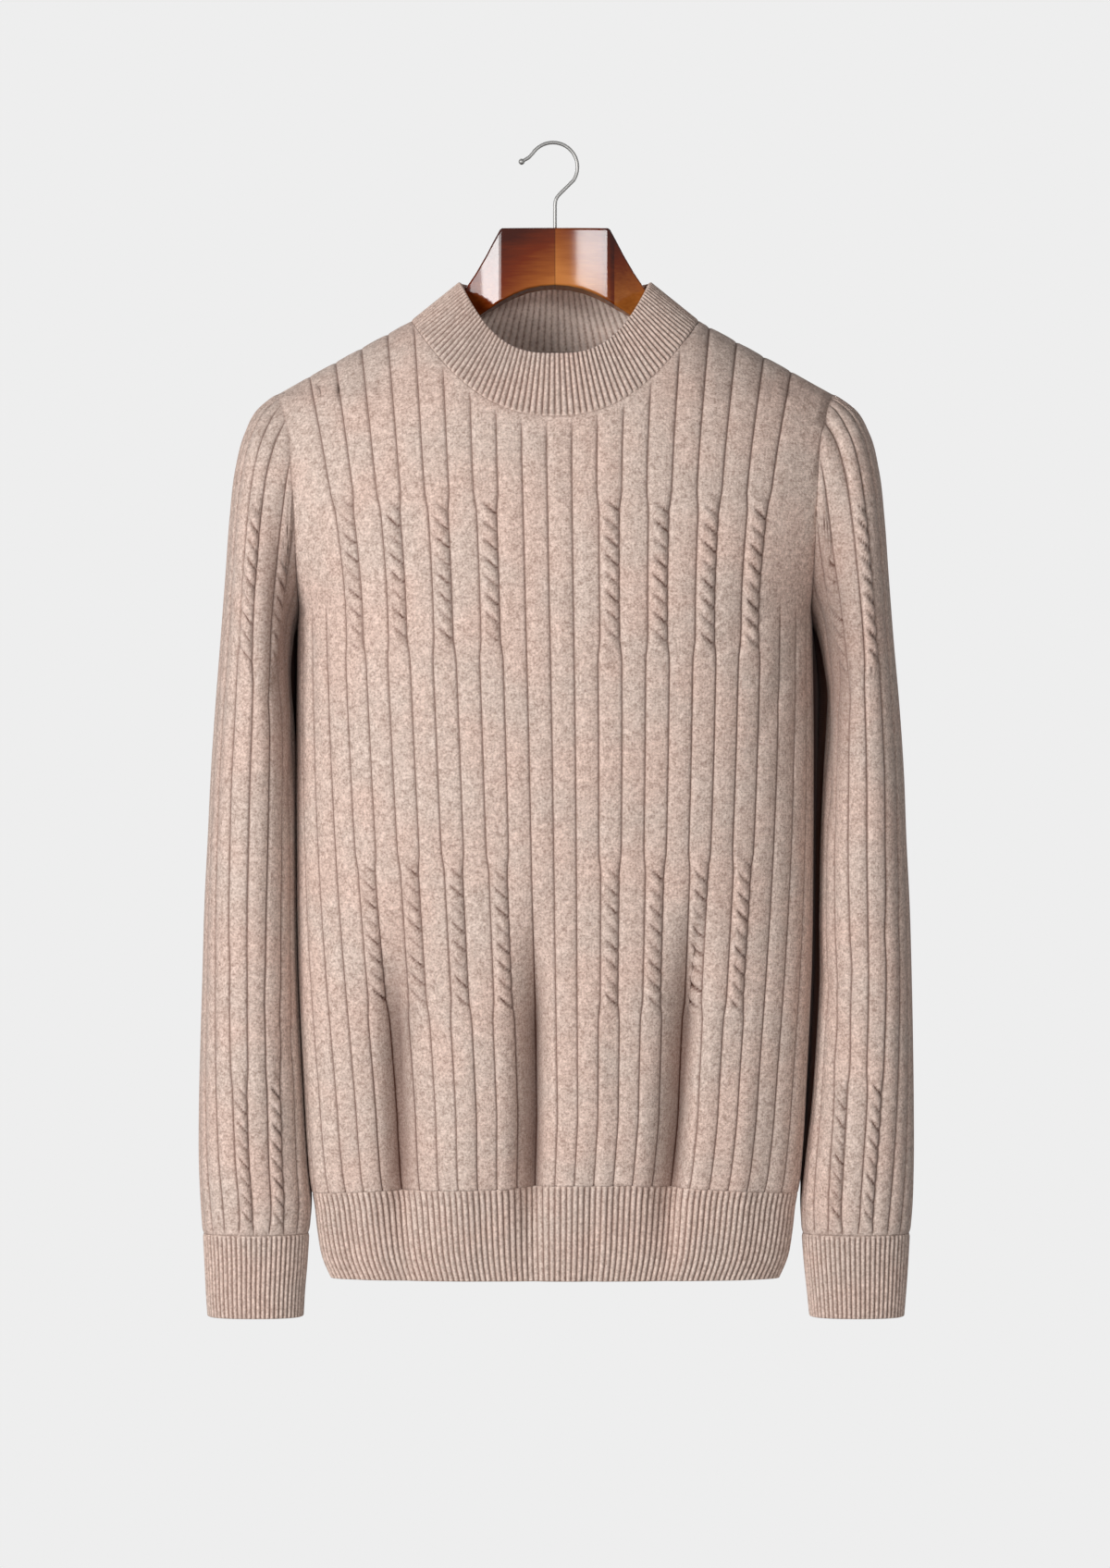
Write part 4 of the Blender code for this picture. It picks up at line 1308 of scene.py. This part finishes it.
# %% Make the hook
WIRE_RADIUS = 1.35
HOOK_RADIUS = 18.0
HOOK_CENTRE = (-1.5, -16.5)
HOOK_FROM, HOOK_TO = -33.0, 146.0
STEM_FOOT_Z, STEM_TOP_Z = -64.5, -45.0
STEM_BEND = ((0.35, -41.6), (1.2, -39.2), (2.6, -37.2))
TIP_BEND = ((-17.8, -7.9), (-19.4, -9.6))
TIP = (-24.5, -12.6)
TIP_RADIUS = 2.3
ARC_STEPS = 40


def hook_route():
    """The middle of the wire, as x and z, and its direction at each point."""
    turn = np.radians(np.linspace(HOOK_FROM, HOOK_TO, ARC_STEPS + 1))
    arc = np.stack([HOOK_CENTRE[0] + HOOK_RADIUS * np.cos(turn),
                    HOOK_CENTRE[1] + HOOK_RADIUS * np.sin(turn)], axis=-1)
    stem = [(0.0, STEM_FOOT_Z), (0.0, STEM_TOP_Z)]
    return np.concatenate([stem, STEM_BEND, arc, TIP_BEND, [TIP]])


def make_hook():
    route = hook_route()
    heading = unit(np.gradient(route, axis=0))
    bpy.ops.mesh.primitive_circle_add(
        vertices=16, radius=WIRE_RADIUS * MM, fill_type="NGON",
        location=(route[0][0] * MM, 0, route[0][1] * MM),
    )
    thing = settle("hook_wire")
    bpy.ops.object.mode_set(mode="EDIT")
    bpy.ops.mesh.select_mode(type="FACE")
    bpy.ops.mesh.select_all(action="SELECT")
    turned = 0.0
    for here, there, way in zip(route, route[1:], heading[1:]):
        move = ((there[0] - here[0]) * MM, 0, (there[1] - here[1]) * MM)
        bpy.ops.mesh.extrude_region_move(TRANSFORM_OT_translate={"value": move})
        lean = np.arctan2(way[0], way[1])
        bpy.ops.transform.rotate(
            value=turned - lean, orient_axis="Y", center_override=(there[0] * MM, 0, there[1] * MM)
        )
        turned = lean
    finish_mesh(ROUND_ANGLE)
    return thing


def add_ball(hook):
    bpy.ops.mesh.primitive_uv_sphere_add(
        segments=24, ring_count=14, radius=TIP_RADIUS * MM, location=(TIP[0] * MM, 0, TIP[1] * MM)
    )
    settle("hook_ball")
    hook.select_set(True)
    bpy.context.view_layer.objects.active = hook
    bpy.ops.object.join()
    bpy.ops.object.shade_smooth_by_angle(angle=np.radians(ROUND_ANGLE))


hook = make_hook()
add_ball(hook)
print("hook:", len(hook.data.polygons), "faces")

# %% [markdown]
# ## Materials
# The wool is a heather: fibres of several pale browns are blended before spinning, so the cloth
# looks speckled close to and drifts between pinkish and greyish further off. Shade is painted
# into its colour in the purl grooves, seams, folds and gaps, and a highlight on the crests;
# loose fibres give the surface a soft bloom. The varnish on the hanger is a clear glossy coat
# over a red-brown stain, and the hook is chromed steel.

# %% Wool
COURSE_HEIGHT = 1.45
# The colours painted in: as shade in the hollows, and as highlight on the crests.
PAINTED_SHADE_COLOUR, PAINTED_HIGHLIGHT_COLOUR = (0.100, 0.042, 0.028), (0.92, 0.78, 0.70)


def stitch_height(tree, wales_per_rib):
    """Small V-shaped stitches along the ribs: 0 in their hollows and about 1 on their legs."""
    across, down = tree.split(tree.node("ShaderNodeUVMap", {"uv_map": "Knit"}))[:2]
    leg = ((across * wales_per_rib).math("FRACT") * 2.0 - 1.0).math("ABSOLUTE")
    course = down / COURSE_HEIGHT + leg * 0.55
    wave = (course * 6.2832).math("SINE") * 0.5 + 0.5
    return wave * (1.0 - leg ** 3.0)


def wool(name, wales_per_rib, light, dark, shade_strength):
    """Two browns speckled together, with shade and highlight painted in from the points' shading.

    The last argument says how dark the painted shade is.
    """
    tree = Tree(name)
    place = tree.object_place()
    hollow = tree.node("ShaderNodeAttribute", {"attribute_name": "hollow"}, output=2)
    fibres = tree.noise(place, 620.0, 3.0, 0.7)
    strands = tree.noise(place, 230.0, 2.0, 0.6)
    patches = tree.noise(place, 21.0, 2.0, 0.55)
    speckle = (fibres * 0.66 + strands * 0.34 - 0.5) * 3.8 + 0.5
    heather = tree.blend(speckle.math("MINIMUM", 1.0).math("MAXIMUM", 0.0), dark, light)
    tint = tree.ramp(patches, (0.38, (1.025, 0.985, 0.975)), (0.62, (0.985, 1.005, 1.01)))
    tinted = tree.blend(1.0, heather, tint, "MULTIPLY")
    # A highlight painted where the shading is below zero, and shade painted where it is above.
    highlighted = tree.blend((hollow * -1.0).math("MAXIMUM", 0.0), tinted, PAINTED_HIGHLIGHT_COLOUR)
    shaded = tree.blend(
        (hollow.math("MAXIMUM", 0.0) * shade_strength * (strands * 0.9 + 0.6)).math("MINIMUM", 1.0),
        highlighted, PAINTED_SHADE_COLOUR,
    )
    fuzz = tree.noise(place, 900.0, 4.0, 0.7)
    height = stitch_height(tree, wales_per_rib) * 0.5 + fuzz * 0.8 + strands * 0.5
    bumped = tree.node("ShaderNodeBump", {}, Strength=0.5, Distance=0.0005, Height=height)
    tree.constant(Sheen_Weight=0.08, Sheen_Roughness=0.5, Specular_IOR_Level=0.2)
    return tree.finish(shaded, 0.92, bumped)


WOOL_LIGHT, WOOL_DARK = (0.775, 0.618, 0.54), (0.355, 0.252, 0.208)
RIB_LIGHT, RIB_DARK = (0.76, 0.605, 0.525), (0.345, 0.246, 0.203)
knit_wool = wool("wool, broad ribs", 9.0, WOOL_LIGHT, WOOL_DARK, 0.75)
rib_wool = wool("wool, fine ribs", 1.0, RIB_LIGHT, RIB_DARK, 0.8)
print("wool materials:", knit_wool.name + ",", rib_wool.name)


# %% Varnished wood and chromed steel
def varnished_wood():
    """Fine grain under a stain, darker at the block's top and ends and paler on the wearer's
    left half of the block and on that arm, and a clear coat.
    """
    tree = Tree("varnished wood")
    place = tree.object_place()
    x, y, z = tree.split(place)
    below = ((z * -1.0 - 0.063) / 0.05).math("MAXIMUM", 0.0).math("MINIMUM", 1.0)
    inward = (1.0 - x.math("ABSOLUTE") / 0.042).math("MAXIMUM", 0.0)
    left_half = x.math("GREATER_THAN", 0.0) * (inward * 5.0).math("MINIMUM", 1.0) * 0.3
    grain = tree.noise(tree.join(x * 9.0, y * 60.0, z * 70.0), 1.6, 4.0, 0.62)
    pores = tree.noise(tree.join(x * 60.0, y * 700.0, z * 700.0), 1.0, 2.0, 0.5)
    cloud = tree.noise(tree.join(x * 14.0, y * 14.0, z * 20.0), 1.0, 2.0, 0.5)
    left_end = x.math("GREATER_THAN", 0.0435) * below * 0.4
    tone = inward * 0.3 + below * (inward * 0.3 + 0.5) + left_half + left_end - 0.1
    tone = tone + (grain - 0.5) * 0.3 + (cloud - 0.5) * 0.25 + (pores - 0.5) * 0.2
    stain = tree.ramp(
        tone, (0.04, (0.045, 0.007, 0.003)), (0.34, (0.135, 0.018, 0.002)),
        (0.68, (0.290, 0.078, 0.012)), (0.96, (0.480, 0.165, 0.035)),
    )
    joint = x.math("ABSOLUTE").math("LESS_THAN", 0.00035)
    joined = tree.blend(joint * 0.45, stain, (0.030, 0.006, 0.002))
    tree.constant(Coat_Weight=0.41, Coat_Roughness=0.11, Coat_IOR=1.5, Specular_IOR_Level=0.0)
    return tree.finish(joined, 0.5)


def chromed_steel():
    tree = Tree("chromed steel")
    # The base colour is set darker than chrome's: painted shade standing in for darker surroundings
    # in its reflection.
    tree.constant(Base_Color=(0.23, 0.226, 0.22, 1.0), Metallic=1.0, Roughness=0.42)
    return tree.material


wood = varnished_wood()
steel = chromed_steel()


def give(pieces, material):
    for piece in pieces:
        piece.data.materials.clear()
        piece.data.materials.append(material)


give((front, back, sleeve_left, sleeve_right), knit_wool)
give((neckband, hem, cuff_left, cuff_right), rib_wool)
give((hanger_left, hanger_right), wood)
give((hook,), steel)
print("materials given")

# %% [markdown]
# ## Room and floor
# The garment hangs in a plain pale room. Camera rays and reflections see the backdrop's own
# colour; all other rays see a dimmer grey, so that the lamps model the knit. A pale floor lies
# well below the hem.

# %% World and floor
BACKDROP = (0.855, 0.855, 0.855, 1.0)
WORLD_COLOUR, WORLD_LIGHT = (1.0, 0.985, 0.97, 1.0), 0.15
FLOOR_Z, FLOOR_RADIUS = -1.42, 1.3
FLOOR_COLOUR = (0.62, 0.62, 0.62, 1.0)


def add_world():
    world = bpy.data.worlds.new("room")
    world.use_nodes = True
    nodes, links = world.node_tree.nodes, world.node_tree.links
    nodes.clear()

    def add(kind, **values):
        made = nodes.new("ShaderNode" + kind)
        for key, value in values.items():
            made.inputs[key].default_value = value
        return made

    seen = add("Background", Color=BACKDROP)
    lit = add("Background", Color=WORLD_COLOUR, Strength=WORLD_LIGHT)
    rays, choice, out = add("LightPath"), add("MixShader"), add("OutputWorld")
    share = rays.outputs["Is Camera Ray"]
    for ray in ("Is Glossy Ray", "Is Transmission Ray"):
        either = add("Math")
        either.operation = "MAXIMUM"
        links.new(share, either.inputs[0])
        links.new(rays.outputs[ray], either.inputs[1])
        share = either.outputs[0]
    for source, socket in zip((share, lit.outputs[0], seen.outputs[0]), choice.inputs):
        links.new(source, socket)
    links.new(choice.outputs[0], out.inputs[0])
    bpy.context.scene.world = world


def add_floor():
    bpy.ops.mesh.primitive_circle_add(
        vertices=128, radius=FLOOR_RADIUS, fill_type="NGON", location=(0, 0, FLOOR_Z)
    )
    floor = settle("floor")
    tree = Tree("pale floor")
    tree.constant(Base_Color=FLOOR_COLOUR, Roughness=0.9)
    floor.data.materials.append(tree.material)


add_world()
add_floor()
bpy.context.scene.view_settings.view_transform = "Standard"
print("room ready")

# %% [markdown]
# ## Saying what each piece is
# Each finished piece rides on the frame's one body and stands for one of its nodes, whose own
# part is hidden. The tables also list each node's material slot, and for a sheet the size of its
# cut: the width and length of the rectangle it would be cut from, laid flat, and its true area,
# told all round for a tube. The code does not pass these on.

def declare(piece, node):
    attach(piece, "root")
    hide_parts(node)


Cloth = namedtuple("Cloth", "piece node flat area rests_on with_pieces")
HANGER_HALVES = [hanger_left, hanger_right]
CLOTHS = (
    Cloth(front, "front", (0.485, 0.690), 0.285, HANGER_HALVES, [neckband, hem]),
    Cloth(back, "back", (0.475, 0.690), 0.295, HANGER_HALVES, []),
    Cloth(sleeve_left, "sleeve_left", (0.375, 0.630), 0.165, [front], [cuff_left]),
    Cloth(sleeve_right, "sleeve_right", (0.375, 0.630), 0.165, [front], [cuff_right]),
)
TRIMS = (
    (neckband, "neckband", "wool_rib"),
    (hem, "hem_rib", "wool_rib"),
    (cuff_left, "cuff_left", "wool_rib"),
    (cuff_right, "cuff_right", "wool_rib"),
)
HARD = (
    (hanger_left, "hanger_left", "varnished_wood"),
    (hanger_right, "hanger_right", "varnished_wood"),
    (hook, "hook", "steel_wire"),
)
for piece, node, slot in TRIMS + HARD:
    declare(piece, node)
for cloth in CLOTHS:
    declare(cloth.piece, cloth.node)
print("pieces declared:", len(TRIMS) + len(HARD) + len(CLOTHS))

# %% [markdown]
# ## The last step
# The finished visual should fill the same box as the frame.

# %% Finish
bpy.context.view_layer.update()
